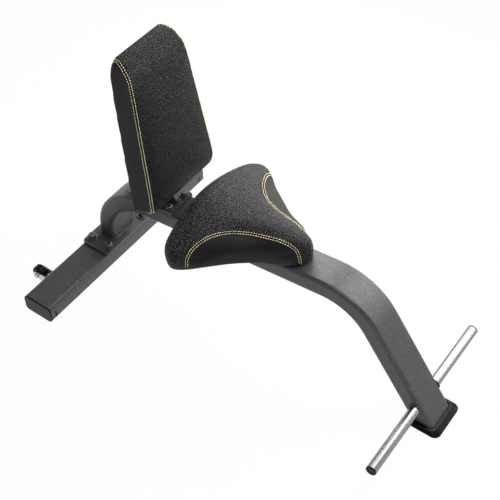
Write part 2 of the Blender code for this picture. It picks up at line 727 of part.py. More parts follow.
def back_half_width(z):
    """Half the pad's width at a height above its lower edge."""
    return BACK_HALF_WIDTH - BACK_NARROWING * z


def back_outline(inset, low, top, share=0.0, between=0):
    """The pad's outline as heights and half-widths between two heights, inset all round. Its
    corners change with the share of the way from the pad's back to its front."""
    low, high = low + inset, top - inset
    foot, head = back_half_width(low) - inset, back_half_width(high) - inset
    steps = 5
    corners = [rear + (front - rear) * share for rear, front in (BACK_BOTTOM_CORNER, BACK_TOP_CORNER)]
    radii = [max(corner - inset * 0.6, 0.006) for corner in corners]
    half = rounded([(low, 0.0), (low, -foot), (high, -head), (high, 0.0)], [0.0, *radii, 0.0], steps)
    if between:
        start, end = Vector(half[steps + 1]), Vector(half[steps + 2])
        side = [tuple(start.lerp(end, (i + 1) / (between + 1))) for i in range(between)]
        half[steps + 2:steps + 2] = side
        half[1:1] = [(low, half[1][1] / 2)]
        half[-1:-1] = [(high, half[-2][1] / 2)]
    return mirrored(half)


def backrest_pad():
    """Cushion with a rolled top, wrapped round a board that a moulded sheet covers."""
    between = 5

    def ring(share, side_inset):
        """Outline part way from the back to the front: its top falls to both sides of the roll,
        and the round bottom edge raises its foot."""
        depth = share * BACK_THICKNESS
        behind = max(BACK_ROLL_START - depth, 0.0) / BACK_ROLL_START
        over = max(depth - BACK_ROLL_START, 0.0) / (BACK_THICKNESS - BACK_ROLL_START)
        drop = 1 - (1 - over ** BACK_ROLL_POWER) ** (1 / BACK_ROLL_POWER)
        under = max(depth - BACK_THICKNESS + BACK_BOTTOM_RADIUS, 0.0) / BACK_BOTTOM_RADIUS
        low = BACK_BOTTOM_RADIUS * (1 - math.sqrt(1 - under * under))
        top = BACK_HEIGHT - BACK_ROLL_HEIGHT * drop - BACK_REAR_DROP * (1 - math.sqrt(1 - behind ** 2))
        return [(depth, y, z) for z, y in back_outline(side_inset, low, top, share, between)]

    recess = BACK_BOARD_X + BACK_BOARD_THICKNESS + GAP
    opening = back_outline(COVER_INSET, 0.0, BACK_BOARD_TOP, 0.0, between)
    rings = [[(recess, y, z) for z, y in opening], [(0.0, y, z) for z, y in opening],
             ring(0.0, 0.001)]
    for share in (0.035, 0.09, 0.2, 0.45, 0.68):
        rings.append(ring(share, BACK_DRAW_IN * math.sin(math.pi * share)))
    for angle in (10, 35, 60, 80, 90):
        turn = math.radians(angle)
        share = min(1 - BACK_EDGE_RADIUS / BACK_THICKNESS * (1 - math.sin(turn)), 1.0)
        rings.append(ring(share, BACK_EDGE_RADIUS * 0.7 * (1 - math.cos(turn))))
    front = rings[-1]
    low, high = front[0][2] + 0.07, front[len(front) // 2][2] - 0.07
    for t in (0.25, 0.55, 0.85):
        inner = []
        for x, y, z in front:
            spine = min(max(z, low), high)
            crown = BACK_CROWN * (1 - (1 - t) ** 2)
            inner.append((x + crown, y * (1 - t), z + (spine - z) * t))
        rings.append(inner)
    add("backrest_cushion", loft(rings), UPHOLSTERY, back_frame)

    # Board and cover fill the recess, and the steel plate on the post lies in the cover's opening
    spots = [(f"{row}_{side}", (MOUNT_REAR, sign * MOUNT_SCREW_Y, z))
             for row, z in MOUNT_SCREW_ROWS for side, sign in SIDES]
    screws = [(y, z) for _, (_, y, z) in spots]
    outline = [(y, z) for z, y in back_outline(COVER_INSET + GAP, 0.0, BACK_BOARD_TOP)]
    holes = circles(M8[0] + GAP, screws, SMALL_ROUND)
    board = extrusion([outline, *holes], BACK_BOARD_THICKNESS, ALONG_X)
    add("backrest_board", board, PLYWOOD, back_frame, (BACK_BOARD_X, 0.0, 0.0))
    height, middle = MOUNT_TOP - MOUNT_BASE, (0.0, (MOUNT_TOP + MOUNT_BASE) / 2)
    opening = rounded_box(MOUNT_WIDTH + 2 * GAP, height + 2 * GAP, MOUNT_CORNER + GAP, middle)
    cover = extrusion([outline, opening], COVER_THICKNESS, ALONG_X)
    add("backrest_back_cover", cover, BLACK_PLASTIC, back_frame)
    plate = extrusion([rounded_box(MOUNT_WIDTH, height, MOUNT_CORNER, middle), *holes],
                      MOUNT_THICKNESS, ALONG_X)
    add("backrest_mount_plate", plate, FRAME_PAINT, back_frame, (MOUNT_REAR, 0.0, 0.0))
    length = GAP + MOUNT_THICKNESS + GAP + BACK_BOARD_THICKNESS - BOLT_END
    backwards = Matrix.Rotation(-math.pi / 2, 4, "Y")
    copies("backrest_screw", bolt(M8, length, M8[4:]), ZINC, back_frame, spots, GAP, backwards)


def seat_outline():
    """The seat's widest outline, a smooth closed curve through the named points, and the radius
    of the cushion's upper edge at each of its points."""
    known = [Vector(point) for point in SEAT_OUTLINE]
    for end in (1, -2):
        x, y, radius = SEAT_OUTLINE[end]
        known.insert(0 if end > 0 else len(known), Vector((x, -y, radius)))
    curve = []
    for i in range(1, len(known) - 2):
        a, b, c, d = known[i - 1:i + 3]
        for k in range(SEAT_SAMPLES):
            t = k / SEAT_SAMPLES
            curve.append((2 * b + (c - a) * t + (2 * a - 5 * b + 4 * c - d) * t * t
                          + (3 * b - a - 3 * c + d) * t ** 3) / 2)
    curve.append(known[-2])
    half = [(point.x, -point.y) for point in curve]
    radii = [point.z for point in curve]
    return mirrored(half), radii + radii[-2:0:-1]


def seat_crown(x, y):
    """Height of the seat's top above the tube, in the seat's tilted frame."""
    base = top_point(SEAT_X)[2]
    level = (SEAT_TOP_HEIGHT - base) * math.cos(TUBE_RISE) - x * math.sin(TUBE_RISE)
    return level - SEAT_CROWN[0] * y ** 2 + SEAT_CROWN[1] * y ** 4


def seat():
    """Saddle cushion round a board, on a plate welded to the tube."""
    outline, radii = seat_outline()

    def flat(inset, z):
        """The outline, inset evenly, at one height."""
        return [(x, y, z) for x, y in inward(outline, [inset] * len(outline))]

    rings = [flat(SEAT_BOARD_INSET, SEAT_BOTTOM + SEAT_BOARD_THICKNESS + GAP),
             flat(SEAT_BOARD_INSET, SEAT_BOTTOM), flat(SEAT_UNDERCUT, SEAT_BOTTOM),
             flat(SEAT_UNDERCUT * 0.3, SEAT_BOTTOM + 0.006)]
    for angle in (-30, 5, 25, 48, 70, 90):
        turn = math.radians(angle)
        insets = [radius * (1 - math.cos(turn)) if angle > 0 else 0.0 for radius in radii]
        ring = []
        for (x, y), radius in zip(inward(outline, insets), radii):
            top = seat_crown(x, y) - radius * (1 - math.sin(turn))
            ring.append((x, y, max(top, SEAT_BOTTOM + 0.009)))
        rings.append(ring)
    edge = rings[-1]
    for t in (0.3, 0.6, 0.88):
        ring = []
        for x, y, _ in edge:
            spine = min(max(x, SEAT_SPINE[0]), SEAT_SPINE[1])
            inner_x, inner_y = x + (spine - x) * t, y * (1 - t)
            ring.append((inner_x, inner_y, seat_crown(inner_x, inner_y)))
        rings.append(ring)
    add("seat_cushion", loft(rings), UPHOLSTERY, seat_frame)

    spots = [(f"{row}_{side}", (x, sign * y, GAP)) for row, x, y in SEAT_SCREWS for side, sign in SIDES]
    holes = circles(M8[0] + GAP, plan(spots), SMALL_ROUND)
    clear = inward(outline, [SEAT_BOARD_INSET + GAP] * len(outline))
    board = extrusion([clear, *holes], SEAT_BOARD_THICKNESS)
    add("seat_board", board, PLYWOOD, seat_frame, (0.0, 0.0, SEAT_BOTTOM))
    rear_x, rear_y = SEAT_PLATE_REAR
    front_x, front_y = SEAT_PLATE_FRONT
    corners = [(rear_x, -rear_y), (front_x, -front_y), (front_x, front_y), (rear_x, rear_y)]
    plate = extrusion([rounded(corners, [SEAT_PLATE_CORNER] * 4), *holes], SEAT_PLATE_THICKNESS)
    add("seat_mount_plate", plate, FRAME_PAINT, seat_frame, (0.0, 0.0, GAP))
    length = GAP + SEAT_PLATE_THICKNESS + GAP + SEAT_BOARD_THICKNESS - BOLT_END
    down = Matrix.Rotation(math.pi, 4, "X")
    copies("seat_screw", bolt(M8, length, M8[4:]), ZINC, seat_frame, spots, GAP, down)


def transport_wheel(side, sign):
    """One wheel on its axle bolt, in a plated bracket screwed to the rear of the beam."""
    axle = frame(f"wheel_axle_{side}", (WHEEL_AXLE_X, sign * WHEEL_Y, WHEEL_AXLE_Z), 0.0, bench)
    outward = Matrix.Rotation(-sign * math.pi / 2, 4, "X")
    half = WHEEL_WIDTH / 2
    bore = SPACER_RADIUS + GAP
    hub = half - HUB_RECESS
    rim = WHEEL_RADIUS - 0.006
    profile = [
        (bore, -hub), (rim, -hub), (rim + 0.001, -half),
        (WHEEL_RADIUS - WHEEL_EDGE, -half), (WHEEL_RADIUS, -half + WHEEL_EDGE),
        (WHEEL_RADIUS, half - WHEEL_EDGE), (WHEEL_RADIUS - WHEEL_EDGE, half),
        (rim + 0.001, half), (rim, hub), (bore, hub),
    ]
    add(f"wheel_{side}", turned(profile, 32), RUBBER, axle, turn=outward)
    inside = half + WHEEL_SIDE_PLAY
    hole = M8[0] + GAP
    length = 2 * (inside - GAP)
    spacer = extrusion([circle(SPACER_RADIUS), circle(hole, sides=SMALL_ROUND)], length)
    add(f"wheel_spacer_{side}", moved(spacer, z=-length / 2), ZINC, axle, turn=outward)

    wall = WHEEL_BRACKET_WALL
    end = WHEEL_BRACKET_HEIGHT / 2
    reach = -WHEEL_AXLE_X - BEAM_DEPTH / 2 - GAP
    turns = [math.radians(90 + 15 * i) for i in range(13)]
    face = [*((end * math.cos(a), end * math.sin(a)) for a in turns), (reach, -end), (reach, end)]
    cheeks = [moved(extrusion([face, circle(hole, sides=SMALL_ROUND)], wall, ALONG_Y), y=y)
              for y in (inside + wall, -inside)]
    base = extrusion([rounded_box(2 * (inside + wall) - 0.0002, 2 * end - 0.0002, 0.0006)], wall, ALONG_X)
    bracket = joined(moved(base, x=reach - wall), *cheeks)
    bracket = add(f"wheel_bracket_{side}", bracket, ZINC, axle)
    spots = [("a", (reach - wall, -BRACKET_SCREW_Y, 0.0)), ("b", (reach - wall, BRACKET_SCREW_Y, 0.0))]
    drill = circles(M5[0] + GAP, [(place[1], place[2]) for _, place in spots], SMALL_ROUND)
    drill = extrusion(drill, wall + 2 * PAST, ALONG_X)
    boolean(bracket, cutter(f"bracket_drill_{side}", drill, axle, (reach - wall - PAST, 0.0, 0.0)))

    # The bolt's head is on the outer cheek and the nut on the inner one
    outer = inside + wall + GAP
    length = 2 * outer + M8[3] + BOLT_END
    add(f"wheel_axle_bolt_{side}", moved(bolt(M8, length), z=outer), ZINC, axle, turn=outward)
    nut = extrusion([hexagon(M8[1]), circle(hole, sides=SMALL_ROUND)], M8[3])
    add(f"wheel_axle_nut_{side}", moved(nut, z=-outer - M8[3]), ZINC, axle, turn=outward)
    length = GAP + wall + GAP + BEAM_WALL + RIVET_NUT_LENGTH / 2
    backwards = Matrix.Rotation(-math.pi / 2, 4, "Y")
    copies(f"bracket_screw_{side}", bolt(M5, length, M5[4:]), ZINC, axle, spots, GAP, backwards)


rear_beam()
main_tube()
front_boot()
foot_pegs()
backrest_bracket()
backrest_pad()
seat()
for wheel_side, wheel_sign in SIDES:
    transport_wheel(wheel_side, wheel_sign)
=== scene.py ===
import math

import bpy
import numpy as np
from mathutils import Euler, Matrix, Vector
from mathutils.bvhtree import BVHTree
from mathutils.kdtree import KDTree


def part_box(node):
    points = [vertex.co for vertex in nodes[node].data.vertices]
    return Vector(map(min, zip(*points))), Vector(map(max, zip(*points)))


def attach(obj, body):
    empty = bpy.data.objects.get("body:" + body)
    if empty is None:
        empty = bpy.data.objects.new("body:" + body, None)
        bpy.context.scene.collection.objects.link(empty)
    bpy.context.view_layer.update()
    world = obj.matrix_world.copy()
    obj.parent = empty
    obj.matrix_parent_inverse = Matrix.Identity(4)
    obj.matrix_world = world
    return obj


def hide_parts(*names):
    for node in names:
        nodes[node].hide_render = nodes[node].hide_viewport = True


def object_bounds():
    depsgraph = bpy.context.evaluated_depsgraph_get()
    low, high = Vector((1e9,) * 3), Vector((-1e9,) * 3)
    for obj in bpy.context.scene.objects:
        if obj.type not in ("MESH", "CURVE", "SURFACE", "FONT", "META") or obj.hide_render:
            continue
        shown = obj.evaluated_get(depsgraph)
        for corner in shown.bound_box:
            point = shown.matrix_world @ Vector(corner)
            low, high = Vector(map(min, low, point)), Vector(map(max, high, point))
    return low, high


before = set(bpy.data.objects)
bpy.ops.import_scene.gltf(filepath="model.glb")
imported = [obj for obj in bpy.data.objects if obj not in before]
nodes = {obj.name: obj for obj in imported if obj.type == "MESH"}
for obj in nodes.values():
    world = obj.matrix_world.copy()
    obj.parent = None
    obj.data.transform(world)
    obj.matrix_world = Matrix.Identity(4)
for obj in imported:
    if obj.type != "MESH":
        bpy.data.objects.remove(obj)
cad_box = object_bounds()

# Camera
# It stands where the photograph was taken from: ahead of the bench, on the user's right and
# well above it. Azimuth 0 looks along +Y.
CAMERA_PLACE = (1.08685, -1.5606, 2.3911)
CAMERA_AZIMUTH = math.radians(35.42)
CAMERA_ELEVATION = math.radians(47.89)
CAMERA_LENS = 76.04
CAMERA_SENSOR = 36.0

camera = bpy.data.objects.new("camera", bpy.data.cameras.new("camera"))
camera.data.lens = CAMERA_LENS
camera.data.sensor_width = CAMERA_SENSOR
camera.location = CAMERA_PLACE
camera.rotation_euler = (math.pi / 2 - CAMERA_ELEVATION, 0.0, CAMERA_AZIMUTH)
bpy.context.scene.collection.objects.link(camera)
bpy.context.scene.camera = camera

# Rear floor beam
# Rectangular steel tube lying flat on the floor, shot blasted and powder coated together with
# the rest of the frame. A narrow slot near each end holds the end cap's catch.

# A CAD piece is loose triangles. Corners this close are one corner, faces this flat are one face,
# an edge sharper than the next angle is broken, and one gentler than the last is part of a curve.
MERGE_GAP = 0.00001
FLAT_ANGLE = math.radians(0.5)
EDGE_ANGLE = math.radians(32)
CURVE_ANGLE = math.radians(35)


def linear(code):
    """A colour written as sRGB hex, as the linear values that Blender works in."""
    parts = [int(code[i:i + 2], 16) / 255 for i in (1, 3, 5)]
    return (*(c / 12.92 if c <= 0.04045 else ((c + 0.055) / 1.055) ** 2.4 for c in parts), 1.0)


def set_inputs(node, inputs):
    """Sets a shader node's inputs, or links them where another node's output is given."""
    for name, value in inputs.items():
        if isinstance(value, bpy.types.NodeSocket):
            node.id_data.links.new(value, node.inputs[name])
        else:
            node.inputs[name].default_value = value


def add_node(tree, kind, inputs=None, stops=(), **settings):
    """Adds a shader node with its settings and inputs. A colour ramp's stops are each a place
    along it and a hex colour."""
    made = tree.nodes.new("ShaderNode" + kind)
    for name, value in settings.items():
        setattr(made, name, value)
    set_inputs(made, inputs or {})
    if stops:
        marks = made.color_ramp.elements
        while len(marks) < len(stops):
            marks.new(0.5)
        for mark, (position, code) in zip(marks, stops):
            mark.position, mark.color = position, linear(code)
    return made


def new_material(name):
    """A material, its node tree, its Principled shader and the place of each point on a piece."""
    material = bpy.data.materials.new(name)
    material.use_nodes = True
    tree = material.node_tree
    return material, tree, tree.nodes["Principled BSDF"], add_node(tree, "TexCoord").outputs["Object"]


def alone(piece):
    """Makes a piece the only one selected, and active."""
    bpy.ops.object.select_all(action="DESELECT")
    piece.select_set(True)
    bpy.context.view_layer.objects.active = piece


def apply_modifier(piece, kind, **settings):
    """Shapes the active piece with one modifier, which is applied at once."""
    modifier = piece.modifiers.new(kind, kind)
    for name, value in settings.items():
        setattr(modifier, name, value)
    bpy.ops.object.modifier_apply(modifier=modifier.name)


def merged_copy(node, name, axes=Matrix()):
    """A copy of a CAD piece, in the given axes, with its loose triangles joined."""
    piece = bpy.data.objects.new(name, nodes[node].data.copy())
    bpy.context.scene.collection.objects.link(piece)
    piece.data.transform(axes.inverted())
    alone(piece)
    bpy.ops.mesh.customdata_custom_splitnormals_clear()
    bpy.ops.object.mode_set(mode="EDIT")
    bpy.ops.mesh.select_all(action="SELECT")
    bpy.ops.mesh.remove_doubles(threshold=MERGE_GAP)
    bpy.ops.object.mode_set(mode="OBJECT")
    return piece


def finish_piece(piece, name, material, body="bench_frame"):
    """Names a piece, gives it its only material and says what it moves with."""
    piece.name = piece.data.name = name
    piece.data.materials.clear()
    piece.data.materials.append(material)
    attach(piece, body)


def broken_edges(node, material, edge=0.0006, body="bench_frame"):
    """A CAD piece as it leaves the workshop, with its flat faces whole, its sharp edges broken
    and its curves smooth. It stands for the CAD piece."""
    piece = merged_copy(node, node)
    bpy.ops.object.mode_set(mode="EDIT")
    bpy.ops.mesh.select_all(action="SELECT")
    bpy.ops.mesh.dissolve_limited(angle_limit=FLAT_ANGLE)
    bpy.ops.object.mode_set(mode="OBJECT")
    apply_modifier(piece, "BEVEL", width=edge, segments=2, limit_method="ANGLE",
                   angle_limit=EDGE_ANGLE)
    bpy.ops.object.shade_smooth_by_angle(angle=CURVE_ANGLE)
    apply_modifier(piece, "WEIGHTED_NORMAL", keep_sharp=True)
    finish_piece(piece, node + "_finished", material, body)
    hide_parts(node)


# Polyester powder coat, sprayed and baked: satin, faintly pitted like orange peel, with
# aluminium flakes. Real flakes are 0.2 mm across and are drawn larger so that they show.
FLAKE = 0.0017
ORANGE_PEEL = 0.004

powder_coat, tree, shader, place = new_material("powder_coat_charcoal_metallic")
flakes = add_node(tree, "TexVoronoi", {"Vector": place, "Scale": 1 / FLAKE})
tint = add_node(tree, "ValToRGB", {"Fac": flakes.outputs["Color"]}, stops=(
    (0.0, "#3c3d40"), (0.55, "#434447"), (0.8, "#4d4e51"), (0.95, "#696a6e")))
peel = add_node(tree, "TexNoise", {"Vector": place, "Scale": 1 / ORANGE_PEEL, "Detail": 2.0})
gloss = add_node(tree, "MapRange", {"Value": peel.outputs["Fac"], "To Min": 0.36, "To Max": 0.50})
relief = add_node(tree, "Bump", {"Height": peel.outputs["Fac"], "Strength": 0.25, "Distance": 0.0004})
set_inputs(shader, {"Base Color": tint.outputs["Color"], "Metallic": 0.35,
                    "Roughness": gloss.outputs["Result"], "Normal": relief.outputs["Normal"]})

broken_edges("rear_crossbeam", powder_coat)

# Beam end caps
# Push-in polyethylene plugs, injection moulded in black, whose flange lies flush with the tube.
# The mould's face has a fine texture, which dulls the shine. It is drawn coarser than it is, so
# that it shows.
MOULD_TEXTURE = 0.0015

moulded, tree, shader, place = new_material("moulded_polyethylene_black")
speckle = add_node(tree, "TexNoise", {"Vector": place, "Scale": 1 / MOULD_TEXTURE, "Detail": 3.0})
tint = add_node(tree, "ValToRGB", {"Fac": speckle.outputs["Fac"]},
                stops=((0.35, "#0e0f11"), (0.65, "#17191b")))
relief = add_node(tree, "Bump", {"Height": speckle.outputs["Fac"], "Strength": 0.5, "Distance": 0.0003})
set_inputs(shader, {"Base Color": tint.outputs["Color"], "Roughness": 0.42,
                    "Specular IOR Level": 0.18, "Normal": relief.outputs["Normal"]})

for side in ("left", "right"):
    broken_edges(f"crossbeam_end_cap_{side}", moulded, edge=0.0011)

# Base plate
# Laser-cut 8 mm steel plate that the main tube is welded to, powder coated with it and bolted
# down on the beam.
broken_edges("rear_base_plate", powder_coat, edge=0.0008)

# Base plate bolts
# M14 hexagon bolts with spring washers and wide flat washers, black zinc plated over rolled and
# forged steel. The head's top is chamfered to a round face, and the thin plating is mottled, so
# that it shines unevenly.
PLATING_MOTTLE = 0.003

black_zinc, tree, shader, place = new_material("black_zinc_plate")
mottle = add_node(tree, "TexNoise", {"Vector": place, "Scale": 1 / PLATING_MOTTLE, "Detail": 4.0})
tint = add_node(tree, "ValToRGB", {"Fac": mottle.outputs["Fac"]},
                stops=((0.3, "#5c5d60"), (0.6, "#77787b"), (0.8, "#a9aaad")))
gloss = add_node(tree, "MapRange", {"Value": mottle.outputs["Fac"], "To Min": 0.28, "To Max": 0.42})
set_inputs(shader, {"Base Color": tint.outputs["Color"], "Metallic": 0.9,
                    "Roughness": gloss.outputs["Result"]})

# Radii as shares of a head's width across flats: its round top face, the foot of the cone that
# chamfers it, and the spring washer under it.
FACE_RADIUS = 0.4558
CONE_RADIUS = 0.9479
SPRING_RADIUS = 0.585

# How far a spring washer goes round, how much of its room it leaves free, and the gap between
# parts that are fitted together.
SPRING_ARC = math.radians(340)
SPRING_SLACK = 0.0004
FIT = 0.0003


def box_middle(node):
    """The middle of a CAD piece."""
    low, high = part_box(node)
    return (low + high) / 2


def split_ring(inner, outer, thickness):
    """A spring washer below 0: square wire wound once round, with a cut through it."""
    bpy.ops.object.select_all(action="DESELECT")
    bpy.ops.mesh.primitive_plane_add(size=1, location=((inner + outer) / 2, 0, -thickness / 2),
                                     rotation=(math.pi / 2, 0, 0))
    ring = bpy.context.object
    ring.scale = (outer - inner, thickness, 1)
    bpy.ops.object.transform_apply()
    bpy.ops.object.mode_set(mode="EDIT")
    bpy.ops.mesh.select_all(action="SELECT")
    bpy.ops.mesh.spin(steps=28, angle=SPRING_ARC, center=(0, 0, 0), axis=(0, 0, 1))
    bpy.ops.mesh.select_all(action="SELECT")
    bpy.ops.mesh.normals_make_consistent(inside=False)
    bpy.ops.object.mode_set(mode="OBJECT")
    return ring


def hexagon_bolt(node, place, across, head, shank, length, spring=0.0):
    """A bolt that stands for a CAD one, modelled along Z with the underside of its head at 0 and
    then put in its place. A cone chamfers the head, and a spring washer may lie under it."""
    bpy.ops.object.select_all(action="DESELECT")
    bpy.ops.mesh.primitive_cone_add(vertices=48, radius1=across * CONE_RADIUS,
                                    radius2=across * FACE_RADIUS, depth=head,
                                    location=(0, 0, head / 2))
    cone = bpy.context.object
    bpy.ops.object.transform_apply()
    bpy.ops.object.select_all(action="DESELECT")
    bpy.ops.mesh.primitive_cylinder_add(vertices=24, radius=shank, depth=length + head / 2,
                                        location=(0, 0, head / 4 - length / 2))
    stem = bpy.context.object
    bpy.ops.object.transform_apply()
    bpy.ops.object.select_all(action="DESELECT")
    bpy.ops.mesh.primitive_cylinder_add(vertices=6, radius=across / math.sqrt(3), depth=head,
                                        location=(0, 0, head / 2), rotation=(0, 0, math.pi / 6))
    piece = bpy.context.object
    bpy.ops.object.transform_apply()
    for tool, how in ((cone, "INTERSECT"), (stem, "UNION")):
        apply_modifier(piece, "BOOLEAN", operation=how, solver="EXACT", object=tool)
        bpy.data.objects.remove(tool)
    if spring:
        ring = split_ring(shank + FIT, across * SPRING_RADIUS, spring - SPRING_SLACK)
        alone(piece)
        ring.select_set(True)
        bpy.ops.object.join()
    apply_modifier(piece, "BEVEL", width=0.0004, segments=2, limit_method="ANGLE")
    bpy.ops.object.shade_smooth_by_angle(angle=math.radians(25))
    piece.data.transform(place)
    finish_piece(piece, node + "_finished", black_zinc)
    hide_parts(node)


BASE_BOLT = {"across": 0.021, "head": 0.0088, "shank": 0.007, "length": 0.0294, "spring": 0.0035}
BASE_WASHER_THICKNESS = 0.0030
CORNERS = ("front_left", "front_right", "rear_left", "rear_right")

# Each head stopped at an angle of its own when it was tightened.
SPANNER_TURNS = (0.2, -0.35, 0.45, 0.05)

for corner, spanner in zip(CORNERS, SPANNER_TURNS):
    washer = f"base_plate_washer_{corner}"
    broken_edges(washer, black_zinc)
    under_head = Vector((0.0, 0.0, BASE_WASHER_THICKNESS / 2 + FIT + BASE_BOLT["spring"]))
    bolt_place = Matrix.Translation(box_middle(washer) + under_head) @ Matrix.Rotation(spanner, 4, "Z")
    hexagon_bolt(f"base_plate_bolt_{corner}", bolt_place, **BASE_BOLT)

# Main tube
# One 100 x 55 mm steel tube, mandrel bent twice so that its walls stay smooth, welded upright
# on the base plate and cut level at the front foot.
TUBE_WIDTH = 0.100
TUBE_DEPTH = 0.055
TUBE_CORNER = 0.012

broken_edges("main_tube", powder_coat, edge=0.0008)

# Weld round the tube's foot
# Steel laid by a MIG torch in a row of overlapping puddles, which leave it rippled, and powder
# coated with the frame. The frame's other welds are made in the same way.
FOOT_BEAD = 0.0028
PUDDLE = 0.0035
PUDDLE_POINTS = 4
PUDDLE_TAPER = 0.14
CORNER_STEPS = 6


def new_curve(name, radius, roundness):
    """An empty curve with a round section."""
    curve = bpy.data.curves.new(name, "CURVE")
    curve.dimensions = "3D"
    curve.bevel_depth = radius
    curve.bevel_resolution = roundness
    return curve


def add_line(curve, places, widths, closed=False):
    """Adds a line to a curve. Each width is a share of the curve's own."""
    spline = curve.splines.new("POLY")
    spline.points.add(len(places) - 1)
    spline.use_cyclic_u = closed
    for point, place, width in zip(spline.points, places, widths):
        point.co = (*place, 1.0)
        point.radius = width


def finish_curve(curve, name, material):
    """Makes a curve a smooth mesh, and finishes that as a piece."""
    piece = bpy.data.objects.new(name, curve)
    bpy.context.scene.collection.objects.link(piece)
    alone(piece)
    bpy.ops.object.convert(target="MESH")
    bpy.ops.object.shade_smooth()
    finish_piece(piece, name, material)


def weld(name, outline, bead, closed=True):
    """A weld bead along an outline, rippled by its puddles."""
    corners = [*outline, outline[0]] if closed else outline
    places = [corners[0]]
    for start, end in zip(corners, corners[1:]):
        steps = max(1, round((end - start).length / (PUDDLE / PUDDLE_POINTS)))
        places += [start.lerp(end, i / steps) for i in range(1, steps + 1)]
    if closed:
        places.pop()
    widths = [1.0 - PUDDLE_TAPER * (i % PUDDLE_POINTS) / (PUDDLE_POINTS - 1) for i in range(len(places))]
    curve = new_curve(name, bead, roundness=2)
    curve.use_fill_caps = not closed
    add_line(curve, places, widths, closed)
    finish_curve(curve, name, powder_coat)


def rounded_outline(length, width, corner, place):
    """Points round a rectangle with round corners, in the plane that the place gives."""
    points = []
    for k, (a, b) in enumerate(((1, 1), (-1, 1), (-1, -1), (1, -1))):
        centre = Vector((a * (length / 2 - corner), b * (width / 2 - corner), 0.0))
        for i in range(CORNER_STEPS + 1):
            turn = math.pi / 2 * (k + i / CORNER_STEPS)
            points.append(place @ (centre + corner * Vector((math.cos(turn), math.sin(turn), 0.0))))
    return points


foot = box_middle("rear_base_plate")
foot.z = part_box("rear_base_plate")[1].z
foot_outline = rounded_outline(TUBE_DEPTH, TUBE_WIDTH, TUBE_CORNER, Matrix.Translation(foot))
weld("weld_tube_foot", foot_outline, FOOT_BEAD)

# Foot pegs
# One brushed and chrome-plated steel tube, passed through the leg and welded in, with a push-in
# plug in each end. Brushing along its length leaves faint lines that blur what it mirrors, and
# they are drawn coarser than the real ones.
BRUSH_LINE = 0.0025
BRUSH_LINE_LENGTH = 0.625

# The bead's middle lies a little off the tube's wall and off the peg.
PEG_RADIUS = 0.015
PEG_BEAD = 0.0026
BEAD_OFF_WALL = 0.0005
BEAD_OFF_PEG = 0.0012
BEAD_POINTS = 40

chrome, tree, shader, place = new_material("satin_chrome_plate")
drawn_out = add_node(tree, "Mapping", {"Vector": place,
                                       "Scale": (1.0, BRUSH_LINE / BRUSH_LINE_LENGTH, 1.0)})
lines = add_node(tree, "TexNoise", {"Vector": drawn_out.outputs["Vector"], "Scale": 1 / BRUSH_LINE,
                                    "Detail": 3.0})
gloss = add_node(tree, "MapRange", {"Value": lines.outputs["Fac"], "To Min": 0.26, "To Max": 0.36})
relief = add_node(tree, "Bump", {"Height": lines.outputs["Fac"], "Strength": 0.03, "Distance": 0.0001})
set_inputs(shader, {"Base Color": linear("#8e8f92"), "Metallic": 1.0,
                    "Roughness": gloss.outputs["Result"], "Normal": relief.outputs["Normal"]})

broken_edges("foot_peg_bar", chrome, edge=0.0004)
for side, sign in (("left", 1), ("right", -1)):
    broken_edges(f"peg_end_cap_{side}", moulded, edge=0.0003)
    wall = box_middle("foot_peg_bar") + Vector((0.0, sign * (TUBE_WIDTH / 2 + BEAD_OFF_WALL), 0.0))
    around = [wall + (PEG_RADIUS + BEAD_OFF_PEG) * Vector((math.cos(turn), 0.0, math.sin(turn)))
              for turn in np.linspace(0.0, math.tau, BEAD_POINTS, endpoint=False)]
    weld(f"weld_peg_{side}", around, PEG_BEAD)

# Front boot
# Moulded rubber cup that the front foot stands in. It keeps the bench from sliding, and its
# satin skin comes straight from the mould. The skin's grain is drawn coarser so that it shows.
RUBBER_SKIN = 0.002

rubber, tree, shader, place = new_material("moulded_rubber_black")
skin = add_node(tree, "TexNoise", {"Vector": place, "Scale": 1 / RUBBER_SKIN, "Detail": 3.0})
tint = add_node(tree, "ValToRGB", {"Fac": skin.outputs["Fac"]},
                stops=((0.35, "#060607"), (0.7, "#0e0e10")))
gloss = add_node(tree, "MapRange", {"Value": skin.outputs["Fac"], "To Min": 0.24, "To Max": 0.36})
relief = add_node(tree, "Bump", {"Height": skin.outputs["Fac"], "Strength": 0.2, "Distance": 0.0003})
set_inputs(shader, {"Base Color": tint.outputs["Color"], "Specular IOR Level": 0.12,
                    "Roughness": gloss.outputs["Result"], "Normal": relief.outputs["Normal"]})

broken_edges("front_foot_boot", rubber, edge=0.0024)

# Backrest bracket
# An 8 mm plate bolted on top of the tube by four M12 bolts, with the rectangular post of the
# backrest and a short rib welded on it. The tube's top rises towards the front, and the bracket
# with it.
TUBE_RISE = math.radians(5.7)
BRACKET_THICKNESS = 0.008
BRACKET_BOLT = {"across": 0.018, "head": 0.0075, "shank": 0.006, "length": 0.0237}
BRACKET_WASHER_THICKNESS = 0.0025
POST_FOOT_X = 0.0085
POST_DEPTH = 0.0602
POST_WIDTH = 0.040
POST_CORNER = 0.006
POST_BEAD = 0.0024
risen = Euler((0.0, -TUBE_RISE, 0.0)).to_matrix().to_4x4()

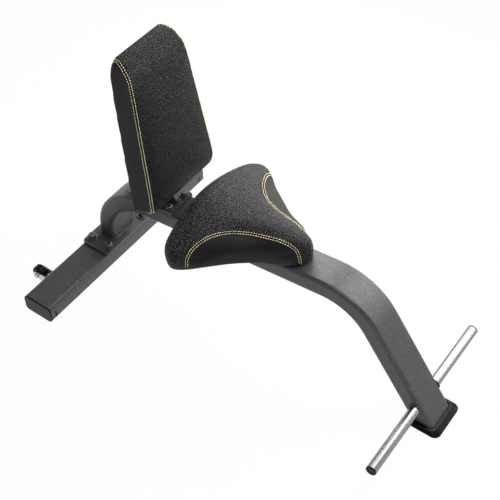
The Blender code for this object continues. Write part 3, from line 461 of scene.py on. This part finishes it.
broken_edges("backrest_bracket_plate", powder_coat, edge=0.0008)
for corner, spanner in zip(CORNERS, SPANNER_TURNS):
    washer = f"bracket_washer_{corner}"
    broken_edges(washer, black_zinc, edge=0.0003)
    under_head = risen @ Vector((0.0, 0.0, BRACKET_WASHER_THICKNESS / 2 + FIT))
    bolt_place = Matrix.Translation(box_middle(washer) + under_head) @ risen
    hexagon_bolt(f"bracket_bolt_{corner}", bolt_place @ Matrix.Rotation(spanner, 4, "Z"), **BRACKET_BOLT)
broken_edges("backrest_post", powder_coat)
broken_edges("backrest_post_rib", powder_coat)
broken_edges("post_top_plug", moulded)
broken_edges("backrest_mount_plate", powder_coat)
post_foot = (Matrix.Translation(box_middle("backrest_bracket_plate")) @ risen
             @ Matrix.Translation((POST_FOOT_X, 0.0, BRACKET_THICKNESS / 2)))
weld("weld_post_foot", rounded_outline(POST_DEPTH, POST_WIDTH, POST_CORNER, post_foot), POST_BEAD)

# Backrest board and cover
# The pad is built on a 12 mm birch plywood board. A moulded sheet hides the board and the
# upholstery's staples, and flanged M8 screws come through the steel plate into the board.

# Rotary-cut birch veneer: matt, with long faint streaks of grain.
GRAIN = 0.004
GRAIN_LENGTH = 0.05

birch, tree, shader, place = new_material("birch_plywood")
along_grain = add_node(tree, "Mapping", {"Vector": place, "Scale": (1.0, GRAIN / GRAIN_LENGTH, 1.0)})
streaks = add_node(tree, "TexNoise", {"Vector": along_grain.outputs["Vector"], "Scale": 1 / GRAIN,
                                      "Detail": 5.0, "Distortion": 0.4})
tint = add_node(tree, "ValToRGB", {"Fac": streaks.outputs["Fac"]},
                stops=((0.3, "#b08a5c"), (0.7, "#d2b184")))
relief = add_node(tree, "Bump", {"Height": streaks.outputs["Fac"], "Strength": 0.3, "Distance": 0.0003})
set_inputs(shader, {"Base Color": tint.outputs["Color"], "Roughness": 0.6,
                    "Normal": relief.outputs["Normal"]})

# Bright zinc plate: silvery, with fine crystals that break up its shine and are drawn coarser so
# that they show.
CRYSTAL = 0.004

zinc, tree, shader, place = new_material("bright_zinc_plate")
crystals = add_node(tree, "TexNoise", {"Vector": place, "Scale": 1 / CRYSTAL, "Detail": 4.0})
tint = add_node(tree, "ValToRGB", {"Fac": crystals.outputs["Fac"]},
                stops=((0.3, "#a9acb0"), (0.7, "#cfd1d3")))
gloss = add_node(tree, "MapRange", {"Value": crystals.outputs["Fac"], "To Min": 0.22, "To Max": 0.38})
set_inputs(shader, {"Base Color": tint.outputs["Color"], "Metallic": 1.0,
                    "Roughness": gloss.outputs["Result"]})

broken_edges("backrest_board", birch)
broken_edges("backrest_back_cover", moulded)
for spot in ("lower_left", "lower_right", "upper_left", "upper_right"):
    broken_edges(f"backrest_screw_{spot}", zinc, edge=0.0003)

# Backrest cushion
# Moulded foam on the board, under a cover sewn from black vinyl-coated fabric. The front panel
# has a pebble grain and the side panels are smooth. Each seam between them is topstitched with
# two rows of heavy pale yellow thread, and pulls the cover in.

# The cloth's mesh, its air pressure, its frames, and how far the cover may swell. The swelling
# is then evened out between neighbouring points.
VOXEL = 0.005
AIR_PRESSURE = 4.0
FRAMES = 20
SWELL = 0.0045
EVENING_PASSES = 20

# The seams: the crease, the rows of stitches on both sides of it, the strip of painted shade
# that darkens the seam and fades out beyond the rows, and how deep and wide a seam pulls the
# cover in.
CREASE = 0.0016
ROW_OFFSET = 0.0031
SEAM_SHADE_INNER = ROW_OFFSET + 0.001
SEAM_SHADE_OUTER = ROW_OFFSET + 0.003
SEAM_DEPTH = 0.0012
SEAM_WIDTH = 0.0034
SINK_WIDTH = 0.018
SIDE_PANEL_WIDTH = 0.05
PATH_STEP = 0.001
SPAN_POINTS = 24

# The side panels' fine grain, drawn coarser so that it shows, how sharply those panels meet the
# front panel, and how far the pebbles' rows wander.
PORE = 0.0012
PORE_HEIGHT = 0.18
PANEL_BLEND = 0.0004
WAVES_PER_CELL = 0.4


def vinyl(name, dark, light, side_colour, shine, cell, stretch, turn, jitter, warp, valley, height):
    """Vinyl-coated upholstery fabric. Its grain is embossed by a heated roller in cells of a
    given size, whose rounded tops catch the light in points, and whose valleys are coloured
    dark as painted shade. The side panels have only a fine grain, and the seam is a crease whose
    strip is coloured near-black as painted shade. The cells may be turned so that no layer of
    them lies along the pad's flat faces. A Mix node's inputs go by number: 0 is the share, 2 and
    3 are values, 6 and 7 are colours."""
    material, tree, shader, place = new_material(name)
    seam = add_node(tree, "Attribute", attribute_name="seam").outputs["Fac"]
    side = add_node(tree, "MapRange", {"Value": seam, "From Min": -PANEL_BLEND, "From Max": PANEL_BLEND})
    distance = add_node(tree, "Math", {0: seam}, operation="ABSOLUTE")
    crease = add_node(tree, "MapRange", {"Value": distance.outputs[0], "From Min": CREASE * 0.3,
                                         "From Max": CREASE, "To Min": 1.0, "To Max": 0.0})
    seam_shade_mask = add_node(tree, "MapRange", {"Value": distance.outputs[0], "From Min": SEAM_SHADE_INNER,
                                          "From Max": SEAM_SHADE_OUTER, "To Min": 1.0, "To Max": 0.0})

    waves = add_node(tree, "TexNoise", {"Vector": place, "Scale": WAVES_PER_CELL / cell,
                                       "Detail": 2.0})
    warped = add_node(tree, "VectorMath", {0: waves.outputs["Color"], 1: (warp,) * 3, 2: place},
                      operation="MULTIPLY_ADD")
    drawn = add_node(tree, "Mapping", {"Vector": warped.outputs[0], "Rotation": turn, "Scale": stretch})
    pebbles = add_node(tree, "TexVoronoi", {"Vector": drawn.outputs["Vector"], "Scale": 1 / cell,
                                            "Randomness": jitter}, feature="DISTANCE_TO_EDGE")
    domes = add_node(tree, "MapRange", {"Value": pebbles.outputs["Distance"], "From Min": valley,
                                        "From Max": 0.30}, interpolation_type="SMOOTHSTEP")
    pores = add_node(tree, "TexNoise", {"Vector": place, "Scale": 1 / PORE, "Detail": 3.0})
    fine = add_node(tree, "Math", {0: pores.outputs["Fac"], 1: PORE_HEIGHT}, operation="MULTIPLY")
    grain = add_node(tree, "Mix", {0: side.outputs["Result"], 2: domes.outputs["Result"],
                                   3: fine.outputs[0]})
    surface = add_node(tree, "Math", {0: grain.outputs[0], 1: crease.outputs["Result"]},
                       operation="SUBTRACT")
    relief = add_node(tree, "Bump", {"Height": surface.outputs[0], "Strength": 0.8,
                                     "Distance": height})

    # Painted shade: the cells' valleys take the dark colour and their domed tops the light one.
    panel = add_node(tree, "Mix", {0: domes.outputs["Result"], 6: linear(dark), 7: linear(light)},
                     data_type="RGBA")
    both = add_node(tree, "Mix", {0: side.outputs["Result"], 6: panel.outputs[2],
                                  7: linear(side_colour)}, data_type="RGBA")
    # Painted shade: a near-black strip is mixed into the cover's colour along each seam, where the thread
    # sinks in and shade falls.
    with_seam_shade = add_node(tree, "Mix", {0: seam_shade_mask.outputs["Result"], 6: both.outputs[2],
                                   7: linear("#070707")}, data_type="RGBA")
    gloss = add_node(tree, "MapRange", {"Value": grain.outputs[0], "To Min": 0.55, "To Max": 0.38})
    set_inputs(shader, {"Base Color": with_seam_shade.outputs[2], "Specular IOR Level": shine,
                        "Roughness": gloss.outputs["Result"], "Normal": relief.outputs["Normal"]})
    return material


# Real pebbles are 2 mm across and are drawn larger so that they show.
# Its first colour is painted shade for the pebbles' valleys.
pebble_vinyl = vinyl("vinyl_pebble_grain", "#020203", "#212124", "#17171b", shine=0.17, cell=0.0048,
                     stretch=(1.0, 1.0, 0.7), turn=(0.0, 0.0, 0.0), jitter=1.0, warp=0.0016,
                     valley=0.03, height=0.0032)

# Bonded polyester thread, whose twisted fibres give it a soft sheen. It is about 1 mm thick and
# drawn thicker so that it shows.
THREAD_RADIUS = 0.0010
FIBRE_TWIST = 0.0009
STITCH = 0.0068
STITCH_GAP = 0.0029

# A stitch, which dips into the cover at both ends: how far along it is, how high over the cover
# in thread radii, and how thick.
STITCH_SHAPE = ((0.0, -0.9, 0.75), (0.15, 0.35, 1.0), (0.5, 0.35, 1.0), (0.85, 0.35, 1.0),
                (1.0, -0.9, 0.75))

thread, tree, shader, place = new_material("bonded_polyester_thread")
fibres = add_node(tree, "TexNoise", {"Vector": place, "Scale": 1 / FIBRE_TWIST, "Detail": 2.0})
tint = add_node(tree, "ValToRGB", {"Fac": fibres.outputs["Fac"]},
                stops=((0.3, "#dccd8c"), (0.7, "#f8efbe")))
relief = add_node(tree, "Bump", {"Height": fibres.outputs["Fac"], "Strength": 0.4, "Distance": 0.0003})
set_inputs(shader, {"Base Color": tint.outputs["Color"], "Roughness": 0.6, "Sheen Weight": 0.3,
                    "Normal": relief.outputs["Normal"]})


def swelled(node, name, axes, outwards, hold):
    """A cushion whose cover is pressed out by its foam: cloth over an even copy of the CAD solid,
    under air pressure, made in the pad's own axes. Along outwards, the cover is held up to the
    first hold distance, near the board, and free past the second. No point moves inwards."""
    pad = merged_copy(node, name, axes)
    solid = BVHTree.FromObject(pad, bpy.context.evaluated_depsgraph_get())
    apply_modifier(pad, "REMESH", mode="VOXEL", voxel_size=VOXEL)
    for point in pad.data.vertices:
        point.co = solid.find_nearest(point.co)[0]
    apply_modifier(pad, "SMOOTH", iterations=2)

    count = len(pad.data.vertices)
    start = np.empty(count * 3)
    pad.data.vertices.foreach_get("co", start)
    start = start.reshape(-1, 3)
    normals = np.array([point.normal for point in pad.data.vertices])
    free = np.clip((start @ np.array(outwards) - hold[0]) / (hold[1] - hold[0]), 0.0, 1.0)
    free = free * free * (3 - 2 * free)
    held = pad.vertex_groups.new(name="held")
    for i in range(count):
        held.add([i], 1.0 - free[i], "REPLACE")

    cloth = pad.modifiers.new("foam", "CLOTH")
    cloth.settings.vertex_group_mass = "held"
    cloth.settings.use_pressure = True
    cloth.settings.uniform_pressure_force = AIR_PRESSURE
    cloth.settings.effector_weights.gravity = 0.0
    cloth.point_cache.frame_start, cloth.point_cache.frame_end = 1, FRAMES
    for step in range(1, FRAMES + 1):
        bpy.context.scene.frame_set(step)
    bpy.ops.object.modifier_apply(modifier="foam")
    moved = np.empty(count * 3)
    pad.data.vertices.foreach_get("co", moved)
    outward = ((moved.reshape(-1, 3) - start) * normals).sum(axis=1).clip(0.0, SWELL) * free
    edges = np.empty(len(pad.data.edges) * 2, np.int64)
    pad.data.edges.foreach_get("vertices", edges)
    one, other = edges.reshape(-1, 2).T
    beside = np.bincount(one, minlength=count) + np.bincount(other, minlength=count)
    for _ in range(EVENING_PASSES):
        total = np.bincount(one, outward[other], count) + np.bincount(other, outward[one], count)
        outward = total / beside
    pad.data.vertices.foreach_set("co", (start + normals * outward[:, None]).ravel())
    pad.vertex_groups.clear()
    apply_modifier(pad, "SUBSURF", levels=1, render_levels=1)
    bpy.ops.object.shade_smooth()
    pad.data.transform(axes)
    bpy.context.scene.frame_set(1)
    return pad


def smooth_path(points):
    """Evenly spaced points on a smooth curve through the given ones."""
    points = np.array(points)
    known = np.vstack([2 * points[0] - points[1], points, 2 * points[-1] - points[-2]])
    fine = []
    for a, b, c, d in zip(known, known[1:], known[2:], known[3:]):
        for t in np.linspace(0.0, 1.0, SPAN_POINTS, endpoint=False):
            fine.append((2 * b + (c - a) * t + (2 * a - 5 * b + 4 * c - d) * t * t
                         + (3 * b - a - 3 * c + d) * t ** 3) / 2)
    fine = np.array([*fine, points[-1]])
    reach = np.concatenate([[0], np.cumsum(np.linalg.norm(np.diff(fine, axis=0), axis=1))])
    spots = np.arange(0.0, reach[-1], PATH_STEP)
    return np.column_stack([np.interp(spots, reach, fine[:, k]) for k in range(3)])


def both_sides(points, axes, panel):
    """The seam's path on the left side and on the right side, in the frame's axes. On the left one
    the smooth side panel lies to the left of the path where panel is 1, or to the right where -1."""
    paths = []
    for sign in (1, -1):
        placed = [axes @ Vector((x, sign * y, z)) for x, y, z in points]
        paths.append((smooth_path(placed), sign * panel))
    return paths


def laid_on(surface, path):
    """A path laid on a surface and evened out a little, and the surface's normals there, evened
    out more, with the sideways direction at each point."""
    hits = [surface.find_nearest(Vector(point)) for point in path]
    places = np.array([hit[0] for hit in hits])
    normals = np.array([hit[1] for hit in hits])
    for rows, passes in ((places, 2), (normals, 12)):
        for _ in range(passes):
            rows[1:-1] = (rows[:-2] + 2 * rows[1:-1] + rows[2:]) / 4
    along = np.gradient(places, axis=0)
    aside = np.cross(normals, along)
    aside /= np.linalg.norm(aside, axis=1, keepdims=True)
    normals /= np.linalg.norm(normals, axis=1, keepdims=True)
    return places, normals, aside


def sewn_seams(pad, paths, axes, hold=(0.0, 1.0), sink=0.0, hollow=0.0):
    """Pulls the cover in along its seams, and stores each point's distance from the nearest seam,
    which is positive on the side panels. Those may be drawn in between the seam and the board. A
    seam whose path runs inside the foam takes the cover down with it, at most as far as it may
    sink. Neither reaches the board: both fade out between the two hold heights over it."""
    surface = BVHTree.FromObject(pad, bpy.context.evaluated_depsgraph_get())
    laid = []
    for path, flip in paths:
        places, normals, aside = laid_on(surface, path)
        sunk = ((places - path) * normals).sum(axis=1).clip(0.0, sink)
        laid.append((places, normals, aside * flip, sunk))
    places, normals, aside, sunk = (np.concatenate(rows) for rows in zip(*laid))
    seam_points = KDTree(len(places))
    for i, spot in enumerate(places):
        seam_points.insert(spot, i)
    seam_points.balance()
    seam = pad.data.attributes.new("seam", "FLOAT", "POINT")
    into_pad = axes.inverted()
    for point in pad.data.vertices:
        _, i, _ = seam_points.find(point.co)
        gap = np.array(point.co) - places[i]
        across = float(gap @ aside[i])
        beyond_end = max(abs(float(gap @ np.cross(normals[i], aside[i]))) - 2 * PATH_STEP, 0.0)
        near = math.hypot(across, beyond_end)
        drawn = sunk[i] * math.exp(-(near / SINK_WIDTH) ** 2)
        drawn += hollow * math.sin(math.pi * min(max(across / SIDE_PANEL_WIDTH, 0.0), 1.0))
        over_board = ((into_pad @ point.co).z - hold[0]) / (hold[1] - hold[0])
        drawn *= min(max(over_board, 0.0), 1.0)
        drawn += SEAM_DEPTH * math.exp(-(near / SEAM_WIDTH) ** 2)
        point.co -= Vector(normals[i] * drawn)
        seam.data[point.index].value = across
    pad.data.update()


def topstitching(pad, name, paths):
    """Two rows of stitches along each seam."""
    surface = BVHTree.FromObject(pad, bpy.context.evaluated_depsgraph_get())
    curve = new_curve(name, THREAD_RADIUS, roundness=1)
    along, height, width = np.array(STITCH_SHAPE).T
    for path, _ in paths:
        middle, _, aside = laid_on(surface, path)
        for shift in (-ROW_OFFSET, ROW_OFFSET):
            places, normals, _ = laid_on(surface, middle + aside * shift)
            reach = np.concatenate([[0], np.cumsum(np.linalg.norm(np.diff(places, axis=0), axis=1))])
            for start in np.arange(STITCH_GAP, reach[-1] - STITCH, STITCH):
                spots = start + along * (STITCH - STITCH_GAP)
                row, up = (np.column_stack([np.interp(spots, reach, rows[:, k]) for k in range(3)])
                           for rows in (places, normals))
                add_line(curve, row + up * (height * THREAD_RADIUS)[:, None], width)
    finish_curve(curve, name, thread)


# The pad's own axes lean with it. The mount plate's middle lies at this place in them, and the
# cover is held up to the first distance from the pad's back and free past the second.
LEAN = math.radians(8.8)
MOUNT_MIDDLE = Vector((0.0005, 0.0, 0.160))
BACK_HOLD = (0.010, 0.026)

# The seam runs round the front edge of each side, from under the pad to behind its rolled top.
# Each point is its depth from the pad's back, its half-width and its height.
BACK_SEAM = (
    (0.0450, 0.1330, 0.0055), (0.0645, 0.1350, 0.0130), (0.0716, 0.1355, 0.0310),
    (0.0706, 0.1340, 0.0550), (0.0706, 0.1300, 0.0900), (0.0706, 0.1197, 0.2560),
    (0.0703, 0.1144, 0.3210), (0.0694, 0.1104, 0.3790), (0.0640, 0.1050, 0.4230),
    (0.0276, 0.0926, 0.4590), (0.0080, 0.0890, 0.4400),
)

leaning = Matrix.Rotation(-LEAN, 4, "Y")
pad_axes = Matrix.Translation(box_middle("backrest_mount_plate") - leaning @ MOUNT_MIDDLE) @ leaning
back_cushion = swelled("backrest_cushion", "backrest_cushion_sewn", pad_axes, (1, 0, 0), BACK_HOLD)
back_seams = both_sides(BACK_SEAM, pad_axes, -1)
sewn_seams(back_cushion, back_seams, pad_axes)
finish_piece(back_cushion, "backrest_cushion_sewn", pebble_vinyl)
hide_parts("backrest_cushion")
topstitching(back_cushion, "backrest_stitching", back_seams)

# Seat board and plate
# A 3 mm steel plate welded on the tube carries a 15 mm plywood board, which four flanged M8
# screws hold from below. The seat's own axes rise with the tube, and the plate's middle and the
# ends of its two welds are places in them.
SEAT_PLATE_MIDDLE = Vector((-0.0525, 0.0, 0.0018))
PLATE_WELD_ENDS = (-0.140, 0.035)
PLATE_WELD_Y = 0.0425
PLATE_WELD_Z = -0.0008
PLATE_BEAD = 0.0026

seat_axes = Matrix.Translation(box_middle("seat_mount_plate") - risen @ SEAT_PLATE_MIDDLE) @ risen
broken_edges("seat_mount_plate", powder_coat)
broken_edges("seat_board", birch)
for spot in ("rear_left", "rear_right", "front_left", "front_right"):
    broken_edges(f"seat_screw_{spot}", zinc, edge=0.0003)
for side, sign in (("left", 1), ("right", -1)):
    ends = [seat_axes @ Vector((x, sign * PLATE_WELD_Y, PLATE_WELD_Z)) for x in PLATE_WELD_ENDS]
    weld(f"weld_seat_plate_{side}", ends, PLATE_BEAD, closed=False)

# Seat cushion
# A saddle: wide under the thighs behind, narrow between the knees in front. Its cover is vinyl
# embossed with an even mesh, drawn coarser than the real one so that it shows, and a smooth
# flank panel is sewn in on each side.

# Heights over the plate, in the seat's own axes: the cover is held up to the first and free past
# the second, and the seams' pull begins at the first and is whole past the second.
SEAT_HOLD = (0.022, 0.038)
SEAT_FADE = (0.026, 0.044)

# The seam runs along the top edge of each flank, from the rear corner to the front of the nose.
# Each point is its distance ahead of the beam's middle, its half-width and its height over the
# floor. Between the rear corner and the nose it lies below the foam's plain edge, and is pulled
# down there.
SEAT_SEAM = (
    (0.432, 0.198, 0.340), (0.431, 0.194, 0.366), (0.431, 0.186, 0.378), (0.432, 0.172, 0.389),
    (0.438, 0.150, 0.399), (0.447, 0.128, 0.404), (0.459, 0.109, 0.407), (0.471, 0.095, 0.408),
    (0.486, 0.081, 0.409), (0.505, 0.069, 0.410), (0.538, 0.055, 0.413), (0.565, 0.048, 0.415),
    (0.590, 0.042, 0.417), (0.610, 0.038, 0.418), (0.630, 0.034, 0.415), (0.644, 0.032, 0.411),
    (0.656, 0.030, 0.404), (0.664, 0.030, 0.392), (0.671, 0.030, 0.367), (0.673, 0.031, 0.352),
)

# Its first, near-black colour is painted shade for the mesh's valleys.
mesh_vinyl = vinyl("vinyl_mesh_emboss", "#010102", "#454549", "#040405", shine=0.25, cell=0.0050,
                   stretch=(1.0, 1.0, 1.0), turn=(0.6, 0.45, 0.8), jitter=0.7, warp=0.0004,
                   valley=0.08, height=0.0036)
from_beam = Matrix.Translation((box_middle("rear_crossbeam").x, 0.0, 0.0))
seat_cushion = swelled("seat_cushion", "seat_cushion_sewn", seat_axes, (0, 0, 1), SEAT_HOLD)
seat_seams = both_sides(SEAT_SEAM, from_beam, 1)
sewn_seams(seat_cushion, seat_seams, seat_axes, SEAT_FADE, sink=0.010, hollow=0.007)
finish_piece(seat_cushion, "seat_cushion_sewn", mesh_vinyl)
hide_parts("seat_cushion")
topstitching(seat_cushion, "seat_stitching", seat_seams)

# Transport wheels
# Each is a solid rubber wheel that turns on a steel sleeve between the cheeks of a zinc-plated
# bracket, which two screws hold on the back of the beam.
for side in ("left", "right"):
    broken_edges(f"wheel_{side}", rubber, edge=0.0008, body=f"{side}_wheel")
    broken_edges(f"wheel_bracket_{side}", zinc, edge=0.0005)
    for part in ("wheel_spacer", "wheel_axle_bolt", "wheel_axle_nut"):
        broken_edges(f"{part}_{side}", zinc, edge=0.0003)
    for screw in "ab":
        broken_edges(f"bracket_screw_{side}_{screw}", zinc, edge=0.0002)

# Floor
# A plain pale studio sweep. The camera and mirrors see it nearly white, and the small share of
# it that the lamps light keeps the bench's soft shadow.
FLOOR_SIZE = 12.0
FLOOR_GAP = 0.0005
WHITE_SHARE = 0.97

floor_paint, tree, shader, _ = new_material("studio_floor")
set_inputs(shader, {"Base Color": linear("#e8e8e8"), "Roughness": 0.9})
seen = add_node(tree, "LightPath")
direct = add_node(tree, "Math", {0: seen.outputs["Is Camera Ray"], 1: seen.outputs["Is Glossy Ray"]},
                  operation="MAXIMUM")
share = add_node(tree, "Math", {0: direct.outputs[0], 1: WHITE_SHARE}, operation="MULTIPLY")
white = add_node(tree, "Emission", {"Color": (1, 1, 1, 1), "Strength": 1.0})
blend = add_node(tree, "MixShader", {0: share.outputs[0], 1: shader.outputs[0], 2: white.outputs[0]})
set_inputs(tree.nodes["Material Output"], {"Surface": blend.outputs[0]})
bpy.ops.object.select_all(action="DESELECT")
bpy.ops.mesh.primitive_plane_add(size=FLOOR_SIZE, location=(0, 0, cad_box[0].z - FLOOR_GAP))
floor = bpy.context.object
bpy.ops.object.transform_apply()
floor.name = "floor"
floor.data.materials.append(floor_paint)

# Lights
# Two softboxes beyond the bench's left side, which the top of the tube mirrors, a low one behind
# them, one in front that edges the plates, one overhead, and a room with pale walls and a dim
# ceiling that is darkest on the near side.

# The room's brightness, and the sines of the heights between which wall turns to ceiling. What
# mirrors the walls sees them white.
WALL = 0.45
NEAR_CEILING = 0.10
FAR_CEILING = 0.42
WALL_TOP = 0.12
CEILING_EDGE = 0.45

WHITE = (1.0, 1.0, 1.0)
WARM_WHITE = (1.0, 0.97, 0.95)


def softbox(name, place, target, size, power, colour):
    """A rectangular area lamp aimed at a point."""
    lamp = bpy.data.lights.new(name, "AREA")
    lamp.shape = "RECTANGLE"
    lamp.size, lamp.size_y = size
    lamp.energy, lamp.color = power, colour
    made = bpy.data.objects.new(name, lamp)
    made.location = place
    made.visible_camera = False
    made.rotation_euler = (Vector(target) - Vector(place)).to_track_quat("-Z", "Y").to_euler()
    bpy.context.scene.collection.objects.link(made)


softbox("softbox_far_rear", (-0.45, 0.75, 1.05), (-0.45, 0.0, 0.3), (0.80, 0.85), 14.0, WARM_WHITE)
softbox("softbox_far_front", (0.66, 0.75, 1.12), (0.66, 0.0, 0.3), (1.0, 0.85), 16.0, WARM_WHITE)
softbox("softbox_far_low", (-0.1, 1.6, 0.6), (-0.1, 0.0, 0.5), (1.8, 0.7), 10.0, WARM_WHITE)
softbox("softbox_front_left", (2.0, 1.7, 1.15), (-0.3, 0.0, 0.1), (0.9, 0.6), 12.0, WHITE)
softbox("softbox_above", (0.9, -0.6, 3.4), (0.0, 0.0, 0.0), (2.2, 2.2), 42.0, WHITE)

world = bpy.data.worlds.new("studio")
bpy.context.scene.world = world
world.use_nodes = True
tree = world.node_tree
seen = add_node(tree, "LightPath")
facing = add_node(tree, "SeparateXYZ", {"Vector": add_node(tree, "TexCoord").outputs["Generated"]})
ceiling = add_node(tree, "MapRange", {"Value": facing.outputs["Y"], "From Min": -1.0,
                                      "To Min": NEAR_CEILING, "To Max": FAR_CEILING})
wall = add_node(tree, "MapRange", {"Value": seen.outputs["Is Glossy Ray"], "To Min": WALL, "To Max": 1.0})
room = add_node(tree, "MapRange", {"Value": facing.outputs["Z"], "From Min": WALL_TOP,
                                   "From Max": CEILING_EDGE, "To Min": wall.outputs["Result"],
                                   "To Max": ceiling.outputs["Result"]},
                interpolation_type="SMOOTHSTEP")
strength = add_node(tree, "MapRange", {"Value": seen.outputs["Is Camera Ray"],
                                       "To Min": room.outputs["Result"], "To Max": 1.0})
set_inputs(tree.nodes["Background"], {"Color": (1, 1, 1, 1), "Strength": strength.outputs["Result"]})
bpy.context.scene.view_settings.view_transform = "Standard"
